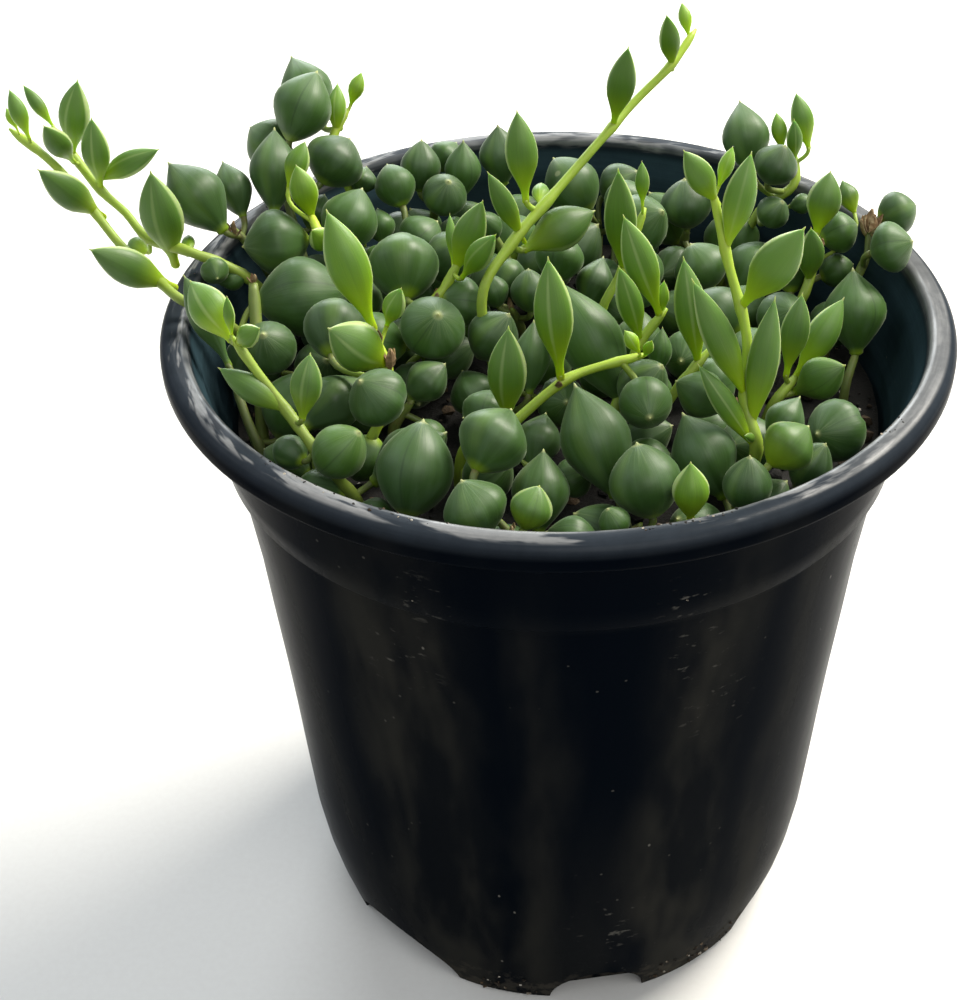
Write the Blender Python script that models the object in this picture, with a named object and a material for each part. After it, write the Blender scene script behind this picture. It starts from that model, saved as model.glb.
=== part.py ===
"""A potted string of pearls: a round nursery pot, its growing mix, and the strands that grow in it.

Metres in Blender, +Z up. The origin is the middle of the pot's base, on the surface it stands on.
The tables and sizes below are millimetres, and compass directions are degrees from +X to +Y.
"""

import math
import random

import bmesh
import bpy
import numpy as np

MM = 0.001
GAP = 0.3

# Pot
POT_HEIGHT = 106.0
RIM_RADIUS = 54.4
BASE_RADIUS = 37.7
POT_SIDES = 32
FLOOR_TOP = 1.8
# Outline of the outside as (radius, height), from the foot up and over the lip.
POT_OUTSIDE = [
    (BASE_RADIUS - 1.0, 0.0), (BASE_RADIUS, 0.6), (39.4, 6.5), (41.2, 19.0), (42.9, 46.0),
    (44.8, 71.0), (46.7, 87.0), (47.8, 88.0), (49.0, 95.0), (50.6, 101.8), (RIM_RADIUS - 0.2, 102.1),
    (RIM_RADIUS, 104.4), (RIM_RADIUS - 1.2, POT_HEIGHT),
]
# Outline of the inside, from the lip down to the floor.
POT_INSIDE = [
    (51.0, POT_HEIGHT), (50.2, 104.8), (49.2, 100.8), (47.7, 95.0), (46.4, 88.0), (45.2, 85.5),
    (43.5, 71.0), (41.6, 46.0), (39.9, 19.0), (38.6, 13.5), (32.8, 9.5), (32.6, FLOOR_TOP),
]
# Arched drainage recesses round the bottom corner: how many, the first one's compass, and their size.
RECESS_COUNT = 7
RECESS_START = -132.0
RECESS_WIDTH = 15.0
WIDE_RECESS_WIDTH = 22.0
RECESS_HEIGHT = 8.0
RECESS_BACK_RADIUS = 34.3
RECESS_SHOULDER = 0.25

# Growing mix
SOIL_TOP = 90.5
SOIL_MOUND = 1.0
SOIL_FIT = 0.985
SOIL_SIDES = 16
SOIL_FOOT_RADIUS = 32.0
SOIL_MOUND_RADIUS = 22.0
SOIL_SHOULDER = 4.0
HOLE_DEPTH = 6.0
STEM_ROOT = SOIL_TOP - HOLE_DEPTH + GAP

# Strands
STEM_RADIUS = 0.8
STEM_SIDES = 4
STEM_STEP = 5.5
STEM_COLLAR = 1.5
PETIOLE_RADIUS = 0.5
PETIOLE_DEPTH = 0.22
FACET_SWELL = 1.06
LEAF_GAP = 0.45
CLASH_COST = 40.0
CROWD_COST = 2.0
FOOT_SPACING = 1.2
# A leaf is turned, a step at a time, until its base faces its petiole at least this squarely.
LEAST_AIM = 0.35
AIM_STEP = 0.3
AIM_TRIES = 16
OWN_LEAF_GAP = 0.1
# The side of a leaf that its flattened faces turn to.
LEAF_FACE = (0.0, -0.78, 0.63)
LEAF_THICKNESS = 0.85
SMALL_LEAF = 5.0
# How far each leaf's ring corners are turned from the leaf before it, in radians.
RING_TURN = 0.9
# The pot's lip as a ring that the leaves settle on: radius and height of its middle, and its thickness.
LIP_RADIUS = 52.2
LIP_MIDDLE = 103.7
LIP_REACH = 2.9

# Long shoots: where each stem stands in the soil, then the points that it passes.
SHOOTS = {
    "shoot_reaching_left_low": [
        (-41, 2), (-46, -2, 104), (-51, -4, 108.5), (-56, 2, 109), (-61.5, 8, 110.5), (-66.5, 12, 115.5),
        (-71, 15, 119.5), (-77.5, 20, 122),
    ],
    "shoot_reaching_left_high": [
        (-37, 12), (-44, 9, 104), (-51.5, 8, 109), (-58, 11, 109.5), (-61.5, 14, 112), (-65, 16, 114.5),
        (-69, 19, 118.5), (-72, 22, 121.5),
    ],
    "shoot_left_low": [(-39.5, -18.5), (-41.5, -16.5, 97), (-43.5, -12.5, 101)],
    "shoot_left_inner": [
        (-25, -30), (-29, -32, 101.5), (-34, -28, 107), (-37.5, -26, 111.5), (-40.5, -24, 115.5),
    ],
    "shoot_bright_left": [
        (-21, -19), (-24.5, -22, 97.5), (-22.5, -20, 101.5), (-22, -18, 106), (-23.5, -16, 110),
    ],
    "shoot_small_bright": [(-34, 12), (-32, 15, 104), (-33.5, 12, 108.5), (-36, 17, 111)],
    "shoot_back_left": [(-30, 28), (-31, 31, 104), (-34.5, 36, 111.5), (-32, 40, 116)],
    "shoot_tall": [
        (-8, -4), (-10.5, -2, 107), (-6.5, 3, 113), (-1.5, 8, 117), (6.5, 17, 122.5), (11, 22, 125.5),
        (16, 26, 129), (19.5, 30, 132.5),
    ],
    "shoot_mid_left": [(-18, 2), (-19.5, 0, 102), (-16, 3, 106), (-13.5, 6, 109.5)],
    "shoot_diagonal": [
        (-13, -24), (-12, -24, 98.5), (-7.5, -23, 100), (-1, -20, 104.5), (3, -18, 106), (11.5, -16, 107.5),
    ],
    "shoot_centre_right": [(5, -15), (7, -15, 96), (9.5, -11, 102), (11, -9, 105), (14.5, -7, 109)],
    "shoot_centre_back": [(4, 0), (6, 2, 103), (9, 5, 108), (12, 9, 115.5)],
    "shoot_leaning_right": [(12, -14), (15.5, -12, 98.5), (21, -8, 104)],
    "shoot_upright_right": [
        (23, -28), (25, -29, 101.5), (23.5, -26, 106.5), (23.5, -22, 114), (21, -17, 122), (19, -13, 129.5),
    ],
    "shoot_right_fan": [(29, -8), (30.5, -8, 95.5), (33.5, -5, 97.5)],
    "shoot_right_back": [(31, 12), (35.5, 12, 99), (38, 17, 105.5)],
    "shoot_back_right": [(26, 30), (31, 33, 102), (36, 34, 106), (36.5, 37, 109.5)],
    "shoot_heap_back_left": [(-36, 20), (-40, 26, 104), (-41, 31.5, 110), (-39, 37, 111)],
    "shoot_heap_left": [(-40, 17), (-43.5, 17, 102), (-47, 17, 108)],
    "shoot_heap_right": [(39, 8), (43, 12, 102), (45, 14, 106)],
}

# Young leaves that stand on the long shoots: middle x, y, z, compass, lift, length and width.
SHOOT_LEAVES = [
    (-76.5, 19, 124, 130, 45, 3.5, 1.5), (-75, 18, 125, 125, 35, 7.5, 2.5),
    (-74, 24, 123.5, -120, 60, 7.5, 2), (-67, 18, 124, 95, 70, 13, 4.5),
    (-69, 14, 122.5, -105, 55, 10.5, 3.5), (-67, 9, 117.5, -120, 60, 14.5, 4.5),
    (-64, 16, 120, 85, 70, 12, 4), (-62, 16, 118.5, -50, 65, 12.5, 3.5),
    (-57.5, -1, 111.5, -155, 55, 14.5, 5), (-60.5, 14, 106.5, 130, 40, 6.5, 3),
    (-55, 9, 113.5, -85, 85, 16.5, 6), (-53, 13, 107.5, 120, 40, 6, 2),
    (-47, -8, 107.5, 133, 51, 14, 4.2), (-42.5, -22, 117.5, 150, 65, 9.5, 5),
    (-40.5, -24, 118, 100, 80, 5.5, 1.5), (-38.5, -25, 116, -15, 50, 5.5, 3),
    (-37.5, -27, 109, -135, 50, 11.5, 3.5), (-31, -29, 111, 60, 70, 9, 4),
    (-26.5, -13, 118, 140, 65, 17, 5.5), (-21, -16, 114.5, -40, 65, 8, 3),
    (-25.5, -19, 110.5, -160, 55, 11, 6.5), (-36.5, 17, 114, 125, 65, 8.5, 4),
    (-37.5, 20, 116, 35, 50, 7.5, 3.5), (-35.5, 12, 108.5, -115, 60, 7, 3.5),
    (-33.5, 39, 116, 40, 70, 8.5, 3), (-31, 41, 118.5, 45, 60, 5.5, 2.5),
    (18, 31, 133.5, 130, 75, 5, 2), (15.5, 25, 132.5, -70, 70, 10, 3),
    (8.5, 17, 129.5, -60, 70, 13.5, 4), (-5, 8, 123.5, 110, 75, 13, 4.5),
    (-7, 4, 118, -90, 75, 12.5, 3), (0, 7, 113, 20, 30, 12, 6),
    (-10, 0, 112, -40, 60, 12, 3.5), (-2.5, 12, 116, 70, 25, 6, 2.5),
    (-12.5, 6, 112.5, 0, 75, 11.5, 4.5), (-15, 8, 111, 95, 55, 7.5, 1.5),
    (-6.5, -23, 108.5, 20, 80, 16, 5), (-0.5, -19, 114.5, 120, 85, 18, 5),
    (9.5, -17, 110, 145, 35, 4, 2), (11.5, -17, 109, -75, 75, 3.5, 1.5),
    (11.5, -7, 115.5, 105, 80, 16.5, 4.5), (9.5, -10, 111, -120, 80, 14.5, 3.5),
    (13.5, -7, 110, 55, 80, 5.5, 2), (8.5, 4, 115.5, -70, 85, 18.5, 4.5),
    (11.5, 9, 119, 95, 70, 6.5, 2), (17.5, -8, 108.5, 65, 80, 16.5, 4.5),
    (17.5, -14, 131.5, -140, 65, 10, 3.5), (20.5, -12, 132, 50, 60, 5.5, 2),
    (22, -15, 128.5, 90, 75, 13.5, 4), (26, -21, 123, -40, 70, 14.5, 5.5),
    (25, -25, 111, 65, 75, 19, 4), (20.5, -25, 114.5, -145, 70, 20, 4),
    (21, -28, 106.5, -130, 75, 15, 3), (23.5, -29, 103, -80, 70, 6, 1.2),
    (32, -6, 104, 60, 75, 12.5, 4), (36, -4, 101.5, 20, 55, 13.5, 4.5),
    (35.5, -8, 99, -35, 45, 9.5, 6), (38, 17, 112, 60, 70, 9.5, 5),
    (36, 12, 106, -85, 70, 13, 4), (33.5, 38, 113, 110, 60, 6, 2.5),
    (36, 36, 112.5, -130, 70, 8, 2.5), (37, 38, 114.5, 130, 65, 9, 3.5),
]

# Full-grown pearls that show on top of the bed, given the same way.
PEARLS = [
    (-52, 18, 112, 139, 39, 13, 8.2), (-38.5, 42.5, 117.5, 118, 47, 12.5, 7.8),
    (-39, 34.5, 118, 52, 44, 11.3, 8.4), (-44, 37, 112, 150, 35, 7.6, 7.6), (-44, 26, 111, 90, 50, 13, 7),
    (-48, 24.5, 107, 120, 45, 9.2, 5.4), (-33, 26.5, 112, 45, 40, 8.1, 8.6),
    (-30.5, 21.5, 108, 60, 45, 10.3, 8.1), (-41, 12, 107, -160, 5, 9.7, 9.2), (-35, 4, 103, 5, 5, 13.5, 10.8),
    (-29, 32, 108, 75, 50, 4.3, 4.3), (-24.5, 28.5, 108, 120, 45, 7, 5.9), (-21.5, 33, 109, 45, 40, 8.1, 5.9),
    (-16, 32.5, 108, 140, 40, 9.2, 5.4), (-17, 39.5, 108, 45, 40, 5.4, 5.4), (-11, 37, 109, 90, 50, 9.7, 6.5),
    (-18, 28.5, 106, 75, 50, 7, 6.5), (-21.5, 23.5, 105, 30, 35, 7, 7), (-25.5, 22.5, 105, 105, 50, 5.4, 4.3),
    (-36, 27, 106, 135, 40, 5.9, 4.9), (-20.5, 7, 106, 10, 10, 11.3, 9.7), (-26, 18, 103, 45, 40, 5.4, 4.9),
    (-14, 4, 103, 15, 15, 7.6, 7), (-9.5, 8, 102, 75, 50, 5.4, 4.3), (-5.5, 9, 102, 105, 50, 6.5, 5.4),
    (-10.5, 24.5, 104, 75, 50, 7.6, 4.3), (-9, -4, 102, 25, 25, 8.6, 7), (-16, -6.5, 103, -70, 65, 8.6, 8.6),
    (-16, -12.5, 99, 5, 10, 7, 5.4), (-12, -13.5, 98, 55, 45, 8.1, 5.4), (-9.5, -13, 97, 45, 40, 4.9, 3.8),
    (-28.5, -19, 99, 15, 15, 10.8, 7), (-26, -32.5, 103, 85, 50, 8.6, 6.5),
    (-10.5, -21.5, 98, 105, 50, 6.5, 5.9), (-19, -26.5, 98, 25, 25, 11.9, 7.6),
    (-17.5, -34, 100, 85, 50, 12.4, 9.2), (-10.5, -42.5, 103, 145, 60, 7.6, 7.6),
    (-3, -44.5, 104, 40, 65, 5.9, 4.9), (-9.5, -27, 98, 40, 40, 8.6, 6.5), (-4, -34, 100, 85, 50, 10.8, 7),
    (-2.5, -9, 102, 100, 50, 10.3, 4.9), (-3, -22.5, 99, 45, 40, 8.6, 5.9),
    (4.5, -11, 103, 100, 50, 18.9, 8.1), (4, -30.5, 101, 120, 45, 15.7, 8.6),
    (2, -44, 100.5, 175, 10, 6.5, 4.9), (7, -42, 101, 75, 50, 4.3, 3.8), (5, 15, 100, 45, 40, 8.6, 5.4),
    (10.5, -15.5, 101, 75, 50, 8.6, 6.5), (14, -4, 100, 80, 50, 7, 3.2), (11, -16.5, 96, 60, 45, 7.6, 5.9),
    (10.5, -36.5, 101, 160, 25, 9.7, 8.6), (18, -32.5, 101, 80, 50, 12.4, 8.1),
    (15.5, -42, 105, 150, 60, 8.1, 4.3), (24, -35, 101, 145, 35, 8.1, 5.9), (27, -33.5, 103, 30, 35, 7, 6.5),
    (29, -25, 103, 45, 40, 7.6, 4.9), (31, -29.5, 100, 60, 45, 7.6, 5.4), (21, -9, 98, 45, 40, 7.6, 7),
    (19.5, 33, 103, 105, 50, 8.1, 7.6), (21, 19, 100, 160, 25, 7.6, 8.1), (29.5, 36.5, 112, 105, 50, 11.9, 7),
    (32.5, 30.5, 110, 30, 30, 7, 6.5), (32, 28.5, 106, 45, 40, 5.4, 4.9), (37.5, 30, 105, 45, 40, 4.5, 3),
    (44, 26, 107, 120, 45, 5.5, 3), (49, 17.5, 109, 15, 15, 6, 6), (47.5, 9, 107, 20, 25, 6.5, 7),
    (42, 19.5, 105, 15, 15, 6, 6), (42, 19, 101, 15, 15, 5.5, 5), (42, 7, 101, 105, 50, 12.5, 8.5),
    (34.5, 7.5, 99, 75, 50, 8.1, 7.6), (-48.5, 5.5, 107, 45, 40, 4.3, 3.8),
    (-46, 9.5, 105, 105, 50, 4.9, 3.2), (-33.5, -29.5, 101, 90, 50, 5.4, 4.3),
]

# Short strands fill the bed between the shoots: rings of roots as (radius, how many).
TUFT_RINGS = [(0.0, 1), (13.5, 6), (27.0, 11), (40.5, 18)]
TUFT_TURN_WANDER = 0.12
TUFT_REACH_WANDER = 1.0
TUFT_CLEARANCE = 5.5
TUFT_LOWEST_TOP = 97.0
TUFT_HIGHEST_TOP = 108.0
TUFT_LEAN = 4.0
TUFT_BEND = 0.35
# Hidden and small pearls fill the rest of the bed: their first grid, size, height and freedom to move.
FILL_SPACING = 8.2
FILL_RADIUS = 42.0
FILL_WIDTH = (6.0, 8.5)
FILL_LEAST_WIDTH = 4.2
FILL_HEIGHT = (96.0, 101.0)
FILL_FREEDOM = 50.0
FILL_REACH = 12.0
FILL_WANDER = 0.2
FILL_CLEARANCE = 3.0
FILL_SHRINK = 1.5
FILL_TRIES = 6
# How freely the measured leaves move while the bed settles.
SHOOT_FREEDOM = 0.4
PEARL_FREEDOM = 1.0
# Settling: how many steps, how often and how far each leaf looks round, and how fast it moves.
SETTLE_STEPS = 160
SETTLE_LOOK = 16
SETTLE_SIGHT = 3.0
SETTLE_PACE = 0.6
LONGEST_STEP = 0.8
SETTLED = 0.02
STEM_PUSH = 0.6
# A part of the bed where the soil lies open.
BARE_X = 24.0
BARE_Y = (-22.0, 6.0)
SEED = 7

COLOURS = {
    "pot": ((0.012, 0.013, 0.016), 0.28),
    "soil": ((0.035, 0.024, 0.016), 0.95),
    "leaf": ((0.055, 0.135, 0.035), 0.38),
    "young": ((0.20, 0.36, 0.05), 0.40),
}


def clear_scene():
    for obj in list(bpy.data.objects):
        bpy.data.objects.remove(obj, do_unlink=True)


def material(name, kind):
    colour, roughness = COLOURS[kind]
    made = bpy.data.materials.new(name)
    made.use_nodes = True
    shader = made.node_tree.nodes["Principled BSDF"]
    shader.inputs["Base Color"].default_value = (*colour, 1.0)
    shader.inputs["Roughness"].default_value = roughness
    shader.inputs["Metallic"].default_value = 0.0
    return made


def add_object(name, mesh, kind=None):
    obj = bpy.data.objects.new(name, mesh)
    bpy.context.scene.collection.objects.link(obj)
    if kind:
        mesh.materials.append(material(name + "_finish", kind))
    return obj


def mesh_of(name, points, faces):
    """A mesh from points in millimetres, with its faces turned outwards."""
    mesh = bpy.data.meshes.new(name)
    mesh.from_pydata([tuple(float(v) * MM for v in p) for p in points], [], faces)
    work = bmesh.new()
    work.from_mesh(mesh)
    bmesh.ops.recalc_face_normals(work, faces=work.faces)
    work.to_mesh(mesh)
    work.free()
    return mesh


def turned(name, outline, sides):
    """A body turned round the Z axis. The outline runs from the axis and back to it."""
    points = [(0.0, 0.0, outline[0][1])]
    for radius, height in outline:
        for k in range(sides):
            turn = 2 * math.pi * k / sides
            points.append((radius * math.cos(turn), radius * math.sin(turn), height))
    points.append((0.0, 0.0, outline[-1][1]))
    last = len(points) - 1
    faces = []
    for k in range(sides):
        after = (k + 1) % sides
        faces.append((0, 1 + after, 1 + k))
        for ring in range(len(outline) - 1):
            low = 1 + ring * sides
            high = low + sides
            faces.append((low + k, low + after, high + after, high + k))
        top = 1 + (len(outline) - 1) * sides
        faces.append((last, top + k, top + after))
    return mesh_of(name, points, faces)


def boolean(target, operation, solver, operand):
    """Applies one Boolean with an object or a collection to the target, and removes what it used."""
    finish = target.data.materials[0]
    modifier = target.modifiers.new(operation.lower(), "BOOLEAN")
    modifier.operation = operation
    modifier.solver = solver
    if isinstance(operand, bpy.types.Collection):
        modifier.operand_type = "COLLECTION"
        modifier.collection = operand
    else:
        modifier.object = operand
    view = bpy.context.evaluated_depsgraph_get()
    result = bpy.data.meshes.new_from_object(target.evaluated_get(view))
    result.materials.clear()
    result.materials.append(finish)
    target.modifiers.clear()
    target.data = result
    used = list(operand.objects) if isinstance(operand, bpy.types.Collection) else [operand]
    for obj in used:
        bpy.data.objects.remove(obj, do_unlink=True)
    if isinstance(operand, bpy.types.Collection):
        bpy.data.collections.remove(operand)


def shade(obj, sharpest):
    """Shades an object smooth, apart from edges over the given angle in degrees."""
    for polygon in obj.data.polygons:
        polygon.use_smooth = True
    obj.data.set_sharp_from_angle(angle=math.radians(sharpest))


def keep_body(mesh):
    """Keeps a union's main body. Hollows that the leaves sealed are filled, and loose scraps go."""
    work = bmesh.new()
    work.from_mesh(mesh)
    islands, seen = [], set()
    for start in work.verts:
        if start in seen:
            continue
        island, edge = {start}, [start]
        while edge:
            for link in edge.pop().link_edges:
                for vert in link.verts:
                    if vert not in island:
                        island.add(vert)
                        edge.append(vert)
        seen |= island
        islands.append(island)
    main_body = max(islands, key=len)
    spare = [vert for island in islands if island is not main_body for vert in island]
    bmesh.ops.delete(work, geom=spare, context="VERTS")
    work.to_mesh(mesh)
    work.free()


def smooth_path(points, step):
    """Points on a smooth curve through the given ones, about one step apart."""
    points = [np.array(p, float) for p in points]
    ends = [2 * points[0] - points[1]] + points + [2 * points[-1] - points[-2]]
    path = [points[0]]
    for before, a, b, after in zip(ends, ends[1:], ends[2:], ends[3:]):
        count = max(1, round(float(np.linalg.norm(b - a)) / step))
        for k in range(1, count + 1):
            t = k / count
            path.append(0.5 * (2 * a + (b - before) * t + (2 * before - 5 * a + 4 * b - after) * t**2
                               + (3 * a - before - 3 * b + after) * t**3))
    return np.array(path)


def heading(compass, lift):
    turn, rise = math.radians(compass), math.radians(lift)
    return np.array([math.cos(rise) * math.cos(turn), math.cos(rise) * math.sin(turn), math.sin(rise)])


def fullness(t, length, width):
    """A leaf's half-width at t of its length, as a share of its widest. Slim leaves end in longer points."""
    slim = min(1.0, max(0.0, (length / width - 1.2) / 1.8))
    return math.sin(math.pi * t ** (1 + 0.3 * slim)) ** (0.62 + 0.33 * slim)


def tuft_roots():
    """Short strands' places in the soil: rings of roots, clear of the long shoots' roots."""
    shoots = [np.array(points[0], float) for points in SHOOTS.values()]
    draw = random.Random(SEED)
    roots = []
    for radius, count in TUFT_RINGS:
        for number in range(count):
            turn = 2 * math.pi * (number + draw.uniform(-TUFT_TURN_WANDER, TUFT_TURN_WANDER)) / count + radius
            reach = radius + draw.uniform(-TUFT_REACH_WANDER, TUFT_REACH_WANDER)
            place = np.array([reach * math.cos(turn), reach * math.sin(turn)])
            if min(np.linalg.norm(place - other) for other in shoots) > TUFT_CLEARANCE:
                roots.append(place)
    return roots


def rooted(root, points):
    """A stem's points with the stretch that stands upright in its hole put first."""
    return [(root[0], root[1], STEM_ROOT), (root[0], root[1], SOIL_TOP + STEM_COLLAR)] + points


def stem_paths():
    """Every strand's name and the points that its stem is bent through, from the root up."""
    paths = {name: rooted(points[0], points[1:]) for name, points in SHOOTS.items()}
    for number, (x, y) in enumerate(tuft_roots(), 1):
        paths[f"strand_{number:02d}"] = rooted((x, y), [(x, y, TUFT_LOWEST_TOP)])
    return paths


def grow_tufts(leaves, paths):
    """Each short strand grows up to where its pearls are. One that carries none is left out."""
    for name in [name for name in paths if name.startswith("strand")]:
        bases = [leaf.base() for leaf in leaves if leaf.owner == name]
        if not bases:
            continue
        root = np.array(paths[name][0])
        goal = np.mean(bases, axis=0)
        lean = goal[:2] - root[:2]
        lean *= min(1.0, TUFT_LEAN / max(float(np.hypot(*lean)), 1e-6))
        top = min(max(float(goal[2]), TUFT_LOWEST_TOP), TUFT_HIGHEST_TOP)
        x, y = root[:2] + lean
        bend = (*(root[:2] + TUFT_BEND * lean), 0.5 * (SOIL_TOP + STEM_COLLAR + top))
        paths[name] = rooted(root[:2], [bend, (x, y, top)])


class Leaf:
    """One leaf or pearl: its middle, heading, length and width, and the strand that it grows on."""

    STATIONS = (0.14, 0.32, 0.5, 0.68, 0.86)

    def __init__(self, row, freedom):
        self.middle = np.array(row[:3], float)
        self.along = heading(row[3], row[4])
        self.length, self.width = float(row[5]), float(row[6])
        self.freedom = freedom
        self.owner = None
        self.foot = None

    def base(self):
        return self.middle - self.along * self.length / 2

    def balls(self):
        """Spheres that stand for the leaf's shape while it is being settled: middles and radii."""
        spread = [(t - 0.5) * self.length for t in self.STATIONS]
        middles = self.middle + np.outer(spread, self.along)
        radii = [0.5 * self.width * FACET_SWELL * fullness(t, self.length, self.width) for t in self.STATIONS]
        return middles, np.array(radii)


def inner_radius(height):
    rows = sorted((z, r) for r, z in POT_INSIDE)
    return np.interp(height, [z for z, _ in rows], [r for _, r in rows])


def wall_push(middles, radii):
    """How far each ball has to move to lie clear of the lip, the pot's wall and the soil."""
    reach = np.hypot(middles[:, 0], middles[:, 1]) + 1e-9
    outward = middles * (1, 1, 0) / reach[:, None]
    apart = middles - outward * LIP_RADIUS - (0, 0, LIP_MIDDLE)
    near = np.linalg.norm(apart, axis=1) + 1e-9
    push = apart * (np.maximum(0.0, radii + LIP_REACH + LEAF_GAP - near) / near)[:, None]
    inside = (middles[:, 2] < LIP_MIDDLE) & (reach < RIM_RADIUS)
    spare = inner_radius(middles[:, 2]) - LEAF_GAP - radii - reach
    push += outward * np.where(inside, np.minimum(0.0, spare), 0.0)[:, None]
    low = SOIL_TOP + SOIL_MOUND + LEAF_GAP + radii - middles[:, 2]
    push[:, 2] += np.where(reach < LIP_RADIUS - LIP_REACH, np.maximum(0.0, low), 0.0)
    return push


def stem_balls(paths):
    """Points along every stem's own centre line, and the name of each point's stem."""
    middles, owners = [], []
    for name, points in paths.items():
        line = smooth_path(points, STEM_STEP)
        line = np.concatenate([a + np.linspace(0, 1, 5)[:4, None] * (b - a) for a, b in zip(line, line[1:])])
        middles.append(line)
        owners += [name] * len(line)
    return np.concatenate(middles), np.array(owners)


def above_soil(stems):
    """True for the stem points that a leaf can grow from."""
    return stems[:, 2] > SOIL_TOP + 2 * STEM_COLLAR


def give_owners(leaves, paths):
    """Each leaf grows on the stem that passes nearest to its base."""
    stems, owners = stem_balls(paths)
    for leaf in leaves:
        apart = np.linalg.norm(stems - leaf.base(), axis=1)
        apart[~above_soil(stems)] = np.inf
        leaf.owner = str(owners[int(np.argmin(apart))])


def settle(leaves, paths):
    """Nudges the leaves apart until none presses into another strand, a wall or the soil."""
    stems, stem_owner = stem_balls(paths)
    count = len(Leaf.STATIONS)
    index = np.repeat(np.arange(len(leaves)), count)
    owner = np.array([leaf.owner for leaf in leaves])[index]
    freedom = np.array([leaf.freedom for leaf in leaves])[index]
    radii = np.concatenate([leaf.balls()[1] for leaf in leaves])
    middles = np.concatenate([leaf.balls()[0] for leaf in leaves])
    for step in range(SETTLE_STEPS):
        if step % SETTLE_LOOK == 0:
            near = np.linalg.norm(middles[:, None] - middles[None], axis=2)
            near = (near < radii[:, None] + radii[None] + SETTLE_SIGHT) & (index[:, None] != index[None])
            one, two = np.nonzero(near)
            gap = np.where(owner[one] == owner[two], OWN_LEAF_GAP, LEAF_GAP) + radii[one] + radii[two]
            share = freedom[one] / (freedom[one] + freedom[two])
            near = np.linalg.norm(middles[:, None] - stems[None], axis=2)
            near = (near < radii[:, None] + SETTLE_SIGHT) & (owner[:, None] != stem_owner[None])
            ball, place = np.nonzero(near)
        move = np.zeros_like(middles)
        apart = middles[one] - middles[two]
        distance = np.linalg.norm(apart, axis=1) + 1e-9
        np.add.at(move, one, apart * (np.maximum(0.0, gap - distance) * share / distance)[:, None])
        apart = middles[ball] - stems[place]
        distance = np.linalg.norm(apart, axis=1) + 1e-9
        deep = np.maximum(0.0, radii[ball] + STEM_RADIUS + LEAF_GAP - distance)
        np.add.at(move, ball, apart * (STEM_PUSH * deep / distance)[:, None])
        move += wall_push(middles, radii)
        strength = np.linalg.norm(move, axis=1).reshape(-1, count)
        strongest = move.reshape(-1, count, 3)[np.arange(len(leaves)), strength.argmax(axis=1)]
        shift = np.clip(strongest * SETTLE_PACE, -LONGEST_STEP, LONGEST_STEP)
        middles += np.repeat(shift, count, axis=0)
        if strength.max() < SETTLED:
            break
    for number, leaf in enumerate(leaves):
        leaf.middle = middles[number * count:(number + 1) * count].mean(axis=0)
    return leaves


def bed_pearls(leaves):
    """Pearls on a loose grid over the bed, wherever no other leaf already takes the place."""
    draw = random.Random(SEED + 2)
    middles = np.array([leaf.middle for leaf in leaves])
    pearls = []
    rows = int(FILL_RADIUS / FILL_SPACING) + 1
    for row in range(-rows, rows + 1):
        for column in range(-rows, rows + 1):
            x = (column + 0.5 * (row % 2) + draw.uniform(-FILL_WANDER, FILL_WANDER)) * FILL_SPACING
            y = (row * math.sqrt(0.75) + draw.uniform(-FILL_WANDER, FILL_WANDER)) * FILL_SPACING
            width = draw.uniform(*FILL_WIDTH)
            height = draw.uniform(*FILL_HEIGHT)
            slant = (draw.uniform(-180, 180), draw.uniform(10, 60), width * draw.uniform(1.1, 1.3))
            bare = x > BARE_X and BARE_Y[0] < y < BARE_Y[1]
            if bare or math.hypot(x, y) > FILL_RADIUS:
                continue
            if np.linalg.norm(middles - (x, y, height), axis=1).min() < FILL_CLEARANCE:
                continue
            pearls.append(Leaf((x, y, height, *slant, width), FILL_FREEDOM))
    return pearls


def fit(leaves, paths):
    """Shrinks each bed pearl until it is clear of its neighbours. One that gets too small is left out."""
    stems, owners = stem_balls(paths)
    kept = list(leaves)
    for leaf in leaves:
        if leaf.freedom < FILL_FREEDOM:
            continue
        others = [other for other in kept if other is not leaf]
        parts = [other.balls() for other in others]
        middles = np.concatenate([p[0] for p in parts] + [stems])
        radii = np.concatenate([p[1] for p in parts] + [np.full(len(stems), STEM_RADIUS)])
        names = np.concatenate([np.repeat([other.owner for other in others], len(Leaf.STATIONS)), owners])
        gap = np.where(names == leaf.owner, OWN_LEAF_GAP, LEAF_GAP)
        gap[len(names) - len(owners):][owners == leaf.owner] = -np.inf
        for _ in range(FILL_TRIES):
            centres, sizes = leaf.balls()
            room = np.linalg.norm(centres[:, None] - middles[None], axis=2) - sizes[:, None] - radii[None]
            short = max(0.0, -float((room - gap[None]).min()))
            short = max(short, float(np.linalg.norm(wall_push(centres, sizes), axis=1).max()))
            if short < SETTLED or leaf.width < FILL_LEAST_WIDTH:
                break
            leaf.length *= 1 - FILL_SHRINK * short / leaf.width
            leaf.width -= FILL_SHRINK * short
        if short >= SETTLED or leaf.width < FILL_LEAST_WIDTH:
            kept = others
    return kept


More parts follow.
